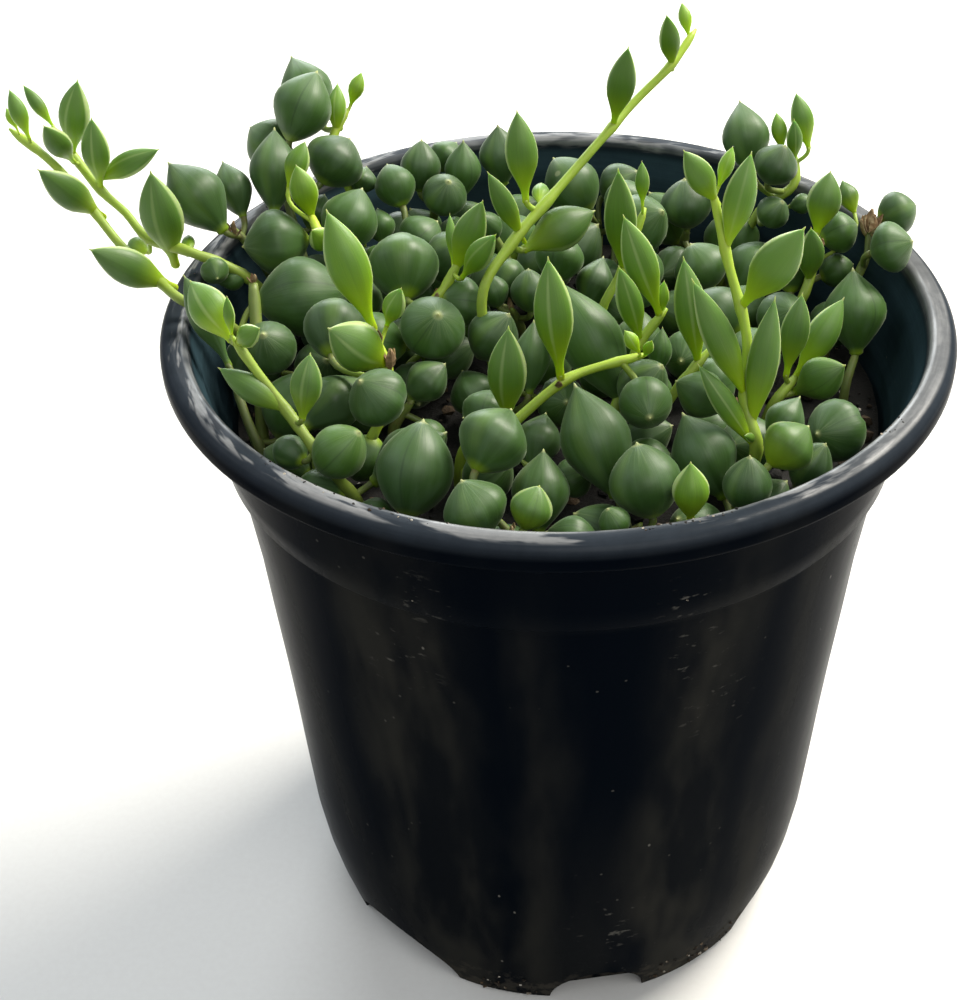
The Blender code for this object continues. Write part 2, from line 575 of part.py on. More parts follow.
def attach(leaves, paths):
    """Finds each leaf's foot: the point on its stem that its petiole reaches clear of the other strands.

    A bed pearl may take any strand's stem, and one that finds no clear way is left out.
    """
    stems, owners = stem_balls(paths)
    parts = [leaf.balls() for leaf in leaves]
    middles = np.concatenate([p[0] for p in parts] + [stems])
    radii = np.concatenate([p[1] for p in parts] + [np.full(len(stems), STEM_RADIUS)])
    names = np.concatenate([np.repeat([leaf.owner for leaf in leaves], len(Leaf.STATIONS)), owners])
    number = np.concatenate([np.repeat(np.arange(len(leaves)), len(Leaf.STATIONS)), np.full(len(stems), -1)])
    taken = np.full((1, 3), np.inf)
    kept = []
    for index, leaf in enumerate(leaves):
        filler = leaf.freedom == FILL_FREEDOM
        base = leaf.base() + leaf.along * 0.1 * leaf.length
        near = np.linalg.norm(stems - base, axis=1)
        mine = (near < FILL_REACH) if filler else (owners == leaf.owner)
        best = None
        for place in np.flatnonzero(mine & above_soil(stems)):
            foot = stems[place]
            others = (names != owners[place]) & (number != index)
            line = base + np.linspace(0, 1, 9)[:, None] * (foot - base)
            room = np.linalg.norm(line[:, None] - middles[others][None], axis=2) - radii[others][None]
            clash = max(0.0, PETIOLE_RADIUS + LEAF_GAP - float(room.min()))
            crowd = int((np.linalg.norm(taken - foot, axis=1) < FOOT_SPACING).sum())
            cost = float(near[place]) + CLASH_COST * clash + CROWD_COST * crowd
            if best is None or cost < best[0]:
                best = (cost, foot, str(owners[place]), clash)
        if filler and (best is None or best[3] > 0):
            continue
        leaf.foot, leaf.owner = best[1], best[2]
        names[number == index] = leaf.owner
        taken = np.vstack([taken, leaf.foot])
        kept.append(leaf)
    return kept


def unit(vector):
    return vector / np.linalg.norm(vector)


def aim(leaves):
    """Turns each leaf so that its petiole runs into its base, not back along its side."""
    for leaf in leaves:
        for _ in range(AIM_TRIES):
            petiole = leaf.base() - leaf.foot
            if petiole @ leaf.along > LEAST_AIM * np.linalg.norm(petiole):
                break
            leaf.along = unit(leaf.along + AIM_STEP * unit(leaf.middle - leaf.foot))


def ring_of(centre, ahead, wide, thick, sides, phase):
    """The corners of a ring across a line. It is widest across the side that leaves face."""
    across = unit(np.cross(ahead, LEAF_FACE))
    face = np.cross(across, ahead)
    turns = [2 * math.pi * k / sides + phase for k in range(sides)]
    return [centre + across * wide * math.cos(turn) + face * thick * math.sin(turn) for turn in turns]


def sleeve(rings, sides):
    """The faces between rings of corners that follow each other."""
    faces = []
    for ring in range(rings - 1):
        for k in range(sides):
            low, after = ring * sides + k, ring * sides + (k + 1) % sides
            faces.append((low, after, after + sides, low + sides))
    return faces


def leaf_mesh(name, leaf, number):
    """One closed leaf: a pointed base, two or three rings of corners and a pointed tip."""
    sides = 6 if leaf.width > 6.0 else 5
    plain = leaf.freedom == FILL_FREEDOM or leaf.width < SMALL_LEAF
    stations = (0.28, 0.7) if plain else (0.22, 0.5, 0.78)
    points = []
    for t in stations:
        half = 0.5 * leaf.width * fullness(t, leaf.length, leaf.width)
        centre = leaf.base() + leaf.along * t * leaf.length
        points += ring_of(centre, leaf.along, half, half * LEAF_THICKNESS, sides, RING_TURN * (number + 1))
    points += [leaf.base(), leaf.base() + leaf.along * leaf.length]
    base, tip, last = len(points) - 2, len(points) - 1, len(points) - 2 - sides
    faces = sleeve(len(stations), sides)
    faces += [(base, (k + 1) % sides, k) for k in range(sides)]
    faces += [(tip, last + k, last + (k + 1) % sides) for k in range(sides)]
    return mesh_of(name, points, faces)


def petiole_mesh(name, leaf, number):
    """The short stalk from the stem's centre line to a point inside the leaf."""
    end = leaf.base() + leaf.along * PETIOLE_DEPTH * leaf.length
    ahead = unit(end - leaf.foot)
    points = []
    for centre in (leaf.foot, end):
        points += ring_of(centre, ahead, PETIOLE_RADIUS, PETIOLE_RADIUS, STEM_SIDES, RING_TURN * (number + 1))
    faces = sleeve(2, STEM_SIDES) + [tuple(range(STEM_SIDES)), tuple(range(STEM_SIDES, 2 * STEM_SIDES))]
    return mesh_of(name, points, faces)


def stem_mesh(name, points):
    """A closed tube of even thickness along the stem's curve."""
    path = smooth_path(points, STEM_STEP)
    verts, faces = [], []
    side = np.array([1.0, 0.0, 0.0])
    for number, centre in enumerate(path):
        ahead = path[min(number + 1, len(path) - 1)] - path[max(number - 1, 0)]
        ahead /= np.linalg.norm(ahead)
        side = side - ahead * float(side @ ahead)
        side /= np.linalg.norm(side)
        other = np.cross(ahead, side)
        for k in range(STEM_SIDES):
            turn = 2 * math.pi * k / STEM_SIDES
            verts.append(centre + STEM_RADIUS * (side * math.cos(turn) + other * math.sin(turn)))
    for ring in range(len(path) - 1):
        for k in range(STEM_SIDES):
            low, after = ring * STEM_SIDES + k, ring * STEM_SIDES + (k + 1) % STEM_SIDES
            faces.append((low, after, after + STEM_SIDES, low + STEM_SIDES))
    faces.append(tuple(range(STEM_SIDES)))
    faces.append(tuple(range(len(verts) - STEM_SIDES, len(verts)))[::-1])
    return mesh_of(name, verts, faces)


def build_strand(name, points, leaves):
    """A strand: its stem, with every leaf that grows on it joined by one union."""
    kind = "leaf" if name.startswith(("strand", "shoot_heap")) else "young"
    stem = add_object(name, stem_mesh(name, points), kind)
    group = bpy.data.collections.new(name + "_leaves")
    bpy.context.scene.collection.children.link(group)
    for number, leaf in enumerate(leaves):
        for part, make in (("leaf", leaf_mesh), ("petiole", petiole_mesh)):
            piece = bpy.data.objects.new(f"{name}_{part}_{number}", make(name, leaf, number))
            group.objects.link(piece)
    boolean(stem, "UNION", "MANIFOLD", group)
    keep_body(stem.data)
    shade(stem, 50)


def build_pot():
    """The moulded pot: one turned wall and floor, with the drainage recesses cut into its bottom corner."""
    pot = add_object("pot", turned("pot", POT_OUTSIDE + POT_INSIDE, POT_SIDES), "pot")
    for number in range(RECESS_COUNT):
        width = WIDE_RECESS_WIDTH if number == 0 else RECESS_WIDTH
        turn = math.radians(RECESS_START + 360.0 * number / RECESS_COUNT)
        boolean(pot, "DIFFERENCE", "EXACT", recess_cutter(turn, width))
    shade(pot, 35)


def recess_cutter(turn, width):
    """An arch laid on its back: flat below, half round on top, reaching in to the recess's back wall."""
    outward = np.array([math.cos(turn), math.sin(turn), 0.0])
    aside = np.array([-math.sin(turn), math.cos(turn), 0.0])
    arch = [(width / 2, -1.0)]
    for turn_up in np.linspace(RECESS_SHOULDER, math.pi - RECESS_SHOULDER, 6):
        arch.append((width / 2 * math.cos(turn_up), RECESS_HEIGHT * math.sin(turn_up)))
    arch += [(-width / 2, -1.0)]
    points = []
    for reach in (RECESS_BACK_RADIUS, BASE_RADIUS + 6):
        for across, up in arch:
            points.append(outward * reach + aside * across + np.array([0, 0, up]))
    count = len(arch)
    faces = [tuple(range(count)), tuple(range(count, 2 * count))[::-1]]
    faces += [(k, k + count, (k + 1) % count + count, (k + 1) % count) for k in range(count)]
    cutter = add_object("recess_cutter", mesh_of("recess_cutter", points, faces))
    cutter.hide_render = True
    cutter.display_type = "WIRE"
    return cutter


def build_soil(paths):
    """The growing mix fills the pot up to a low mound, with a plain hole for every stem."""
    outline = [(SOIL_FOOT_RADIUS, FLOOR_TOP + GAP)]
    corners = [(r, z) for r, z in reversed(POT_INSIDE) if FLOOR_TOP < z < SOIL_TOP - SOIL_SHOULDER]
    outline += [(r * SOIL_FIT - GAP, z + GAP) for r, z in corners]
    outline += [(float(inner_radius(SOIL_TOP)) * SOIL_FIT, SOIL_TOP)]
    outline += [(SOIL_MOUND_RADIUS, SOIL_TOP + SOIL_MOUND)]
    soil = add_object("soil", turned("soil", outline, SOIL_SIDES), "soil")
    group = bpy.data.collections.new("stem_holes")
    bpy.context.scene.collection.children.link(group)
    for number, points in enumerate(paths.values()):
        x, y = points[0][:2]
        hole = []
        for height in (SOIL_TOP - HOLE_DEPTH, SOIL_TOP + 6):
            for k in range(STEM_SIDES):
                turn = 2 * math.pi * k / STEM_SIDES
                reach = (STEM_RADIUS + GAP) / math.cos(math.pi / STEM_SIDES)
                hole.append((x + reach * math.cos(turn), y + reach * math.sin(turn), height))
        count = STEM_SIDES
        faces = [tuple(range(count)), tuple(range(count, 2 * count))[::-1]]
        faces += [(k, k + count, (k + 1) % count + count, (k + 1) % count) for k in range(count)]
        cutter = bpy.data.objects.new(f"hole_{number}", mesh_of("hole", hole, faces))
        cutter.hide_render = True
        cutter.display_type = "WIRE"
        group.objects.link(cutter)
    boolean(soil, "DIFFERENCE", "MANIFOLD", group)


def plant():
    """Every strand's stem and the settled leaves that grow on it."""
    paths = stem_paths()
    leaves = [Leaf(row, SHOOT_FREEDOM) for row in SHOOT_LEAVES]
    leaves += [Leaf(row, PEARL_FREEDOM) for row in PEARLS]
    give_owners(leaves, paths)
    grow_tufts(leaves, paths)
    give_owners(leaves, paths)
    aim(attach(leaves, paths))
    settle(leaves, paths)
    pearls = bed_pearls(leaves)
    give_owners(pearls, paths)
    leaves = fit(settle(leaves + pearls, paths), paths)
    leaves = attach(leaves, paths)
    aim(leaves)
    carrying = {leaf.owner for leaf in leaves}
    return {name: points for name, points in paths.items() if name in carrying}, leaves


def main():
    clear_scene()
    build_pot()
    paths, leaves = plant()
    build_soil(paths)
    for name, points in paths.items():
        build_strand(name, points, [leaf for leaf in leaves if leaf.owner == name])


main()
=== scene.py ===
# %% [markdown]
# # A potted string of pearls
#
# The real object is a small black nursery pot, filled with dark growing mix, in which many strands
# of a succulent grow. Old leaves are round, dark pearls, and young shoots carry pointed, bright ones.
# This lesson dresses the plain model of that plant: every piece below takes the place of one plain
# piece, keeps its form and size, and adds the fine shape and the finish that the eye sees.
#
# The plain model comes first, because every place below is measured from it.

# %% Load the plain model
import math
import random

import bmesh
import bpy
import numpy as np

from mathutils import Matrix, Vector


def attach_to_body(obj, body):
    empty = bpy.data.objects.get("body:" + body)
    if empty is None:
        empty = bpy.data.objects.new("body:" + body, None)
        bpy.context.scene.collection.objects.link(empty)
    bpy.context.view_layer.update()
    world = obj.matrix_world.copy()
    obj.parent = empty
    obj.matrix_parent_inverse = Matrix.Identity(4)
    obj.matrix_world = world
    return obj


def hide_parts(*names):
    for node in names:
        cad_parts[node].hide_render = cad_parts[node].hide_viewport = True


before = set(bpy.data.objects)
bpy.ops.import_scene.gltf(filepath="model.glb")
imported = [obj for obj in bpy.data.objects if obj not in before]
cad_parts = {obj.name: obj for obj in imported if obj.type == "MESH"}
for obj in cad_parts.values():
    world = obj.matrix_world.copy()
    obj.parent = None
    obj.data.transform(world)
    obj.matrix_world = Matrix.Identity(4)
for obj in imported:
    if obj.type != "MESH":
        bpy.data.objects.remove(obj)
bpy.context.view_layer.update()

# %% [markdown]
# ## The camera
#
# The photograph was taken from close by, looking down into the pot. A camera is described by its
# eye point, its pitch and its lens. The picture's middle is not where the lens points, because the
# photograph was trimmed, so the camera gets a small shift and not a turn: upright lines keep their slant.

# %% Place the camera
MM = 0.001
PHOTO_SIZE = (962, 1000)
LENS_PIXELS = 1700.0
LENS_POINT = (558.5, 542.8)
EYE = (0.0, -203.4 * MM, 227.4 * MM)
PITCH_DOWN = 38.94
SENSOR = 36.0

bpy.ops.object.select_all(action="DESELECT")
bpy.ops.object.camera_add(location=EYE, rotation=(math.radians(90 - PITCH_DOWN), 0, 0))
camera = bpy.context.object
camera.name = "photo_camera"
camera.data.sensor_width = SENSOR
camera.data.lens = LENS_PIXELS / max(PHOTO_SIZE) * SENSOR
camera.data.shift_x = (PHOTO_SIZE[0] / 2 - LENS_POINT[0]) / max(PHOTO_SIZE)
camera.data.shift_y = (LENS_POINT[1] - PHOTO_SIZE[1] / 2) / max(PHOTO_SIZE)
camera.data.dof.use_dof = False
bpy.context.scene.camera = camera
print("lens", round(camera.data.lens, 2), "mm, pitch", PITCH_DOWN, "degrees down")

# %% [markdown]
# ## Shader maths
#
# Each finish below is a sum of patterns. Joining nodes by hand hides that sum, so two small classes let
# Python write it: a `Value` is a socket that understands + - * and comparisons by a soft step, and a
# `Finish` is one material, with one method that adds any node. Colours are given as the 0 to 255 numbers
# that a screen shows, and are turned into light by one function.

# %% Values that add up
def colour(red, green, blue):
    """A screen colour, 0 to 255, as linear light."""
    shares = [channel / 255 for channel in (red, green, blue)]
    return (*[s / 12.92 if s <= 0.04045 else ((s + 0.055) / 1.055) ** 2.4 for s in shares], 1.0)


class Value:
    """A socket of a finish. Each sum with it adds one Math node."""

    def __init__(self, finish, socket):
        self.finish = finish
        self.socket = socket

    def math(self, operation, first, second=0.0):
        return self.finish.node("Math", {"operation": operation}, {0: first, 1: second})

    def __add__(self, other):
        return self.math("ADD", self, other)

    def __sub__(self, other):
        return self.math("SUBTRACT", self, other)

    def __rsub__(self, other):
        return self.math("SUBTRACT", other, self)

    def __mul__(self, other):
        return self.math("MULTIPLY", self, other)

    def __abs__(self):
        return self.math("ABSOLUTE", self)

    def step(self, low, high):
        """0 at low and 1 at high, with a soft step between them. Low may be the larger number."""
        return self.finish.node("MapRange", {"interpolation_type": "SMOOTHSTEP"},
                                {"Value": self, "From Min": low, "From Max": high})

    __radd__ = __add__
    __rmul__ = __mul__


class Finish:
    """One material and its nodes."""

    def __init__(self, name, **constants):
        self.material = bpy.data.materials.new(name)
        self.material.use_nodes = True
        self.tree = self.material.node_tree
        self.shader = self.tree.nodes["Principled BSDF"]
        self.feed(**constants)

    def node(self, kind, settings, sockets, output=0):
        """Adds a node: its settings first, then the values or links of its sockets."""
        made = self.tree.nodes.new("ShaderNode" + kind)
        for name, value in settings.items():
            if name == "stops":
                self.set_stops(made.color_ramp, value)
            else:
                setattr(made, name, value)
        for name, value in sockets.items():
            self.join(value, made.inputs[name])
        return Value(self, made.outputs[output])

    def set_stops(self, ramp, stops):
        for number, (place, shade) in enumerate(stops):
            stop = ramp.elements[number] if number < 2 else ramp.elements.new(place)
            stop.position = place
            stop.color = shade

    def join(self, value, socket):
        if isinstance(value, Value):
            self.tree.links.new(value.socket, socket)
        else:
            socket.default_value = value

    def feed(self, **values):
        """Sets or links the shader's own sockets, named with _ for a space."""
        for name, value in values.items():
            self.join(value, self.shader.inputs[name.replace("_", " ")])

    def place(self):
        return self.node("TexCoord", {}, {}, "Object")

    def attribute(self, name, output="Fac"):
        return self.node("Attribute", {"attribute_name": name}, {}, output)

    def parts(self, vector):
        """The three numbers of a vector."""
        split = self.node("SeparateXYZ", {}, {0: vector})
        return [Value(self, output) for output in split.socket.node.outputs]

    def stretched(self, vector, scale, offset=(0, 0, 0)):
        moved = self.added(vector, offset)
        return self.node("VectorMath", {"operation": "MULTIPLY"}, {0: moved, 1: scale})

    def added(self, first, second):
        """Two vectors added."""
        return self.node("VectorMath", {"operation": "ADD"}, {0: first, 1: second})

    def length(self, vector):
        return self.node("VectorMath", {"operation": "LENGTH"}, {0: vector}, "Value")

    def near(self, vector, spot, reach):
        """1 at a spot given in millimetres, and 0 from its reach outward."""
        away = self.added(vector, tuple(-MM * c for c in spot))
        return self.length(away).step(reach * MM, 0.3 * reach * MM)

    def noise(self, vector, scale, detail=2.0, rough=0.5):
        sockets = {"Vector": vector, "Scale": scale, "Detail": detail, "Roughness": rough}
        return self.node("TexNoise", {}, sockets)

    def specks(self, vector, scale, size, share):
        """Round specks: one in each cell of the pattern that the draw lets through."""
        near = self.node("TexVoronoi", {}, {"Vector": vector, "Scale": scale}, "Distance")
        shade = self.node("TexVoronoi", {}, {"Vector": vector, "Scale": scale}, "Color")
        return near.step(size, 0.5 * size) * self.parts(shade)[0].step(1 - share, 1 - 0.98 * share)

    def mix(self, first, second, share):
        return self.node("Mix", {"data_type": "RGBA"}, {0: share, 6: first, 7: second}, 2)

    def lit(self, shade, share):
        """A colour made lighter or darker by a number."""
        return self.node("VectorMath", {"operation": "SCALE"}, {0: shade, "Scale": share})

    def ramp(self, value, stops):
        return self.node("ValToRGB", {"stops": stops}, {0: value})

    def bump(self, height, depth, strength=1.0):
        """Raises the shader's surface by a height from 0 to 1, as deep as depth in metres."""
        made = self.node("Bump", {}, {"Height": height, "Distance": depth, "Strength": strength})
        self.feed(Normal=made)


print("a black nursery pot reads as", [round(c, 4) for c in colour(20, 21, 24)])

# %% [markdown]
# ## Floor and light
#
# The plant stood in daylight: a warm light comes from the upper right, a wide cool one from low behind,
# which draws the pale edge along the top of each pearl, and the sky fills the rest. Four area lights and
# a pale sky give that. They are large, because the highlights are broad. The floor is plain and pale.

# %% Floor
FLOOR_SIZE = 6.0
FLOOR_DROP = 0.05 * MM

bpy.ops.object.select_all(action="DESELECT")
bpy.ops.mesh.primitive_plane_add(size=FLOOR_SIZE, location=(0, 0, -FLOOR_DROP))
floor = bpy.context.object
floor.name = "floor"
floor_finish = Finish("floor_card", Roughness=0.85, Specular_IOR_Level=0.2)
floor_grain = floor_finish.noise(floor_finish.place(), 900.0, 2.0)
floor_shade = floor_finish.mix(colour(214, 213, 211), colour(220, 220, 218), floor_grain)
floor_finish.feed(Base_Color=floor_shade)
floor.data.materials.append(floor_finish.material)
print("floor", FLOOR_SIZE, "m wide")

# %% Lights
# Each light: where it stands and how wide it is, in metres, its power in watts and its tint.
LIGHTS = {
    "sun_behind_right": ((0.44, 0.34, 0.70), 0.45, 15.0, (1.0, 0.95, 0.85)),
    "sky_behind": ((-0.15, 0.95, 0.48), 0.70, 8.5, (0.92, 0.97, 1.0)),
    "sky_left": ((-0.75, 0.10, 0.75), 0.80, 2.2, (0.88, 0.95, 1.0)),
    "sky_front": ((0.30, -0.70, 0.95), 0.80, 4.5, (1.0, 0.99, 0.96)),
}
LOOK_AT = Vector((0, 0, 0.09))
SKY_TINT = (0.94, 0.97, 1.0, 1.0)
SKY_STRENGTH = 0.36

for name, (spot, width, power, tint) in LIGHTS.items():
    turn = (LOOK_AT - Vector(spot)).to_track_quat("-Z", "Y").to_euler()
    bpy.ops.object.light_add(type="AREA", location=spot, rotation=turn)
    light = bpy.context.object
    light.name = name
    light.data.shape = "DISK"
    light.data.size = width
    light.data.energy = power
    light.data.color = tint
    print(name, power, "W")

sky = bpy.data.worlds.new("sky")
sky.use_nodes = True
sky.node_tree.nodes["Background"].inputs["Color"].default_value = SKY_TINT
sky.node_tree.nodes["Background"].inputs["Strength"].default_value = SKY_STRENGTH
bpy.context.scene.world = sky
bpy.context.scene.view_settings.view_transform = "Standard"

# %% [markdown]
# ## Modelling helpers
#
# Every shape below is made the way a hand would make it in the viewport: a primitive, then selections
# and tools in edit mode, then modifiers that are applied. A script has no mouse, so it selects by place.
# `start` clears the old selection, `pick` selects points by a test, `copied` puts a copy of a master in
# its place, and `finish_piece` makes a mesh a piece of the plant: it rides on the root and takes the
# place of a plain piece.

# %% Select, edit and finish
SAME_POINT = 0.001


def start():
    """Leaves edit mode and selects nothing."""
    if bpy.context.object and bpy.context.object.mode != "OBJECT":
        bpy.ops.object.mode_set(mode="OBJECT")
    bpy.ops.object.select_all(action="DESELECT")


def edit(mode="VERT"):
    bpy.ops.object.mode_set(mode="EDIT")
    bpy.ops.mesh.select_mode(type=mode)


def pick(test):
    """Selects the points of the mesh in edit mode that pass the test, and nothing else."""
    mesh = bmesh.from_edit_mesh(bpy.context.edit_object.data)
    bpy.ops.mesh.select_all(action="DESELECT")
    for vertex in mesh.verts:
        vertex.select_set(bool(test(vertex)))
    mesh.select_flush_mode()
    bmesh.update_edit_mesh(bpy.context.edit_object.data)


def only(piece):
    """Makes this the one selected and active object."""
    start()
    piece.select_set(True)
    bpy.context.view_layer.objects.active = piece


def clean(piece, outward=True):
    """Joins doubled points and turns the faces outward."""
    only(piece)
    edit()
    bpy.ops.mesh.select_all(action="SELECT")
    bpy.ops.mesh.remove_doubles(threshold=SAME_POINT * MM)
    if outward:
        bpy.ops.mesh.normals_make_consistent(inside=False)
    bpy.ops.object.mode_set(mode="OBJECT")


def joined(objects):
    """Joins objects into the first one."""
    only(objects[0])
    for other in objects:
        other.select_set(True)
    bpy.ops.object.join()
    return bpy.context.object


def copied(master, name, put):
    """A copy of a master, with a mesh of its own, turned, sized and moved by a matrix."""
    copy = bpy.data.objects.new(name, master.data.copy())
    copy.data.transform(put)
    bpy.context.scene.collection.objects.link(copy)
    return copy


def apply_all(piece):
    only(piece)
    for modifier in list(piece.modifiers):
        bpy.ops.object.modifier_apply(modifier=modifier.name)


def set_number(mesh, name, values):
    """Writes one number for each point of a mesh, for a finish to read."""
    layer = mesh.attributes.get(name) or mesh.attributes.new(name, "FLOAT", "POINT")
    numbers = np.broadcast_to(np.asarray(values, np.float32), len(mesh.vertices))
    layer.data.foreach_set("value", numbers.copy())


def finish_piece(piece, slot, *nodes):
    """Puts a finished mesh on the plant, in place of the plain nodes."""
    only(piece)
    bpy.ops.object.transform_apply(location=True, rotation=True, scale=True)
    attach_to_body(piece, "root")
    if nodes:
        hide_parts(*nodes)
    print(piece.name, "triangles:", sum(len(face.vertices) - 2 for face in piece.data.polygons))


# %% [markdown]
# ## The pot
#
# The real pot is one thin moulding, turned about its axis: a tapered wall, a fuller collar that starts at
# a small step, and a flat lip with a rolled edge. It could be a Screw of a profile, but here one ring of
# points is extruded up the outside, over the lip and down the inside, and each new ring is resized to
# its radius. That is the quickest way by hand, and each line of the list is one move. The corners of
# the lip are quarter arcs, worked out by a function.

# %% The pot's outline
POT_HEIGHT = 106.0
RIM_RADIUS = 54.4
BASE_RADIUS = 37.7
FLOOR_TOP = 1.8
LIP_EDGE_MIDDLE = 51.5
LIP_EDGE_RADIUS = 0.9
POT_SIDES = 144


def arc(middle, radius, first, last, count):
    """Points (radius from the axis, height) on an arc, by angle in degrees."""
    turns = [math.radians(first + (last - first) * k / (count - 1)) for k in range(count)]
    return [(middle[0] + radius * math.cos(turn), middle[1] + radius * math.sin(turn)) for turn in turns]


FOOT = arc((BASE_RADIUS - 0.7, 0.7), 0.7, -90, -5, 4)
WALL = [(38.3, 3.0), (39.2, 6.5), (40.3, 12.0), (41.2, 19.0), (41.9, 30.0), (42.5, 40.0), (43.2, 50.0),
        (44.0, 60.0), (44.8, 71.0), (45.7, 79.0), (46.5, 85.5)]
STEP = [(46.65, 86.8), (46.9, 87.15), (47.6, 87.35), (47.85, 87.7)]
COLLAR = [(48.4, 91.0), (49.05, 95.0), (49.7, 98.6), (50.3, 101.0)]
FILLET = arc((51.3, 101.2), 0.8, 180, 90, 4)
BAND = arc((53.5, 102.9), 0.9, -90, 0, 4) + arc((52.5, 104.1), 1.9, 0, 90, 8)
LIP = arc((LIP_EDGE_MIDDLE, POT_HEIGHT - LIP_EDGE_RADIUS), LIP_EDGE_RADIUS, 90, 190, 6)
INSIDE = [(50.2, 103.6), (49.55, 101.6), (49.2, 101.1), (49.1, 100.2), (48.3, 97.0), (47.5, 93.2),
          (47.0, 92.6), (46.8, 91.4), (46.4, 88.0), (45.2, 85.5), (43.5, 71.0), (41.6, 46.0),
          (39.9, 19.0), (38.6, 13.5), (32.8, 9.5), (32.6, FLOOR_TOP)]
POT_OUTLINE = FOOT + WALL + STEP + COLLAR + FILLET + BAND + LIP + INSIDE
print("rings in the pot's outline:", len(POT_OUTLINE))


# %% Extrude the pot ring by ring
RING_FIT = 0.02


def turned(name, outline, sides):
    """A closed body turned about the axis: a circle extruded and resized from ring to ring."""
    start()
    radius, height = outline[0]
    bpy.ops.mesh.primitive_circle_add(vertices=sides, radius=radius * MM, location=(0, 0, height * MM))
    body = bpy.context.object
    body.name = name
    edit()
    bpy.ops.mesh.select_all(action="SELECT")
    for after_radius, after_height in outline[1:]:
        rise = (after_height - height) * MM
        bpy.ops.mesh.extrude_region_move(TRANSFORM_OT_translate={"value": (0, 0, rise)})
        grow = after_radius / radius
        bpy.ops.transform.resize(value=(grow, grow, 1), center_override=(0, 0, after_height * MM))
        radius, height = after_radius, after_height
    for end_radius, end_height in (outline[-1], outline[0]):
        local = (end_height - outline[0][1]) * MM
        pick(lambda point: abs(point.co.z - local) < 0.5 * RING_FIT * MM
             and abs(math.hypot(point.co.x, point.co.y) - end_radius * MM) < RING_FIT * MM)
        bpy.ops.mesh.extrude_region_move(TRANSFORM_OT_translate={"value": (0, 0, 0)})
        bpy.ops.mesh.merge(type="CENTER")
    bpy.ops.object.mode_set(mode="OBJECT")
    clean(body)
    bpy.ops.object.transform_apply(location=True, rotation=True, scale=True)
    return body


pot = turned("nursery_pot", POT_OUTLINE, POT_SIDES)
print("pot faces", len(pot.data.polygons))

# %% [markdown]
# Thin moulded walls are never quite true: they wave a little, and that is what breaks the reflections
# into the soft upright streaks of the photograph. A Displace modifier with a cloud pattern gives it. The
# pattern is read through an empty that is tall and narrow, which stretches it along the wall, and a
# vertex group keeps the lip, the foot and the step true.

# %% Let the wall wave
WAVE_WIDTH = 15.0
WAVE_LENGTH = 70.0
WAVE_DEPTH = 0.45
TRUE_BELOW = 8.0
TRUE_ABOVE = 84.0
WAVE_FADE = 8.0
WALL_TAPER = 0.03

wall = pot.vertex_groups.new(name="wall")
for point in pot.data.vertices:
    height = point.co.z / MM
    fade = min(1.0, max(0.0, min(height - TRUE_BELOW, TRUE_ABOVE - height) / WAVE_FADE))
    if math.hypot(point.co.x, point.co.y) > (BASE_RADIUS + WALL_TAPER * height) * MM:
        wall.add([point.index], fade, "REPLACE")
start()
bpy.ops.object.empty_add(scale=(WAVE_WIDTH * MM, WAVE_WIDTH * MM, WAVE_LENGTH * MM))
guide = bpy.context.object
clouds = bpy.data.textures.new("wall_waves", "CLOUDS")
clouds.noise_scale = 1.0
clouds.noise_depth = 1
wave = pot.modifiers.new("wave", "DISPLACE")
wave.texture = clouds
wave.texture_coords = "OBJECT"
wave.texture_coords_object = guide
wave.vertex_group = wall.name
wave.strength = WAVE_DEPTH * MM
wave.mid_level = 0.5
apply_all(pot)
bpy.data.objects.remove(guide)
print("wall waves up to", WAVE_DEPTH / 2, "mm")

# %% [markdown]
# Seven arched drainage recesses cut into the bottom corner. Each is cut by a short cylinder that lies on
# its side, points outward and is squashed to the arch's height. Its inner end is bevelled first, so that
# the recess gets the rounded back that a mould leaves. The cylinders are joined and cut in one go, which
# keeps the pot's skin closed.

# %% Cut the drainage recesses
RECESS_COUNT = 7
RECESS_START = -132.0
RECESS_WIDTH = 15.0
WIDE_RECESS_WIDTH = 22.0
RECESS_HEIGHT = 8.0
RECESS_BACK_RADIUS = 34.3
RECESS_REACH = 10.0
RECESS_ROUND = 1.0
RECESS_SIDES = 36
POT_SMOOTH = 38

cutters = []
for number in range(RECESS_COUNT):
    width = WIDE_RECESS_WIDTH if number == 0 else RECESS_WIDTH
    turn = math.radians(RECESS_START + 360.0 * number / RECESS_COUNT)
    reach = (RECESS_BACK_RADIUS + RECESS_REACH / 2) * MM
    start()
    bpy.ops.mesh.primitive_cylinder_add(
        vertices=RECESS_SIDES, radius=0.5 * width * MM, depth=RECESS_REACH * MM,
        location=(reach * math.cos(turn), reach * math.sin(turn), 0),
        rotation=(0, math.pi / 2, turn), scale=(2 * RECESS_HEIGHT / width, 1, 1))
    cutter = bpy.context.object
    bpy.ops.object.transform_apply(location=True, rotation=True, scale=True)
    edit()
    outward = Vector((math.cos(turn), math.sin(turn), 0))
    pick(lambda point: point.co.dot(outward) < (RECESS_BACK_RADIUS + 0.1) * MM)
    bpy.ops.mesh.bevel(offset=RECESS_ROUND * MM, segments=3)
    bpy.ops.object.mode_set(mode="OBJECT")
    cutters.append(cutter)
cutter = joined(cutters)
cut = pot.modifiers.new("recesses", "BOOLEAN")
cut.operation = "DIFFERENCE"
cut.solver = "EXACT"
cut.object = cutter
apply_all(pot)
bpy.data.objects.remove(cutter)
clean(pot, outward=False)
bpy.ops.object.shade_smooth_by_angle(angle=math.radians(POT_SMOOTH))
print("pot faces with its recesses:", len(pot.data.polygons))
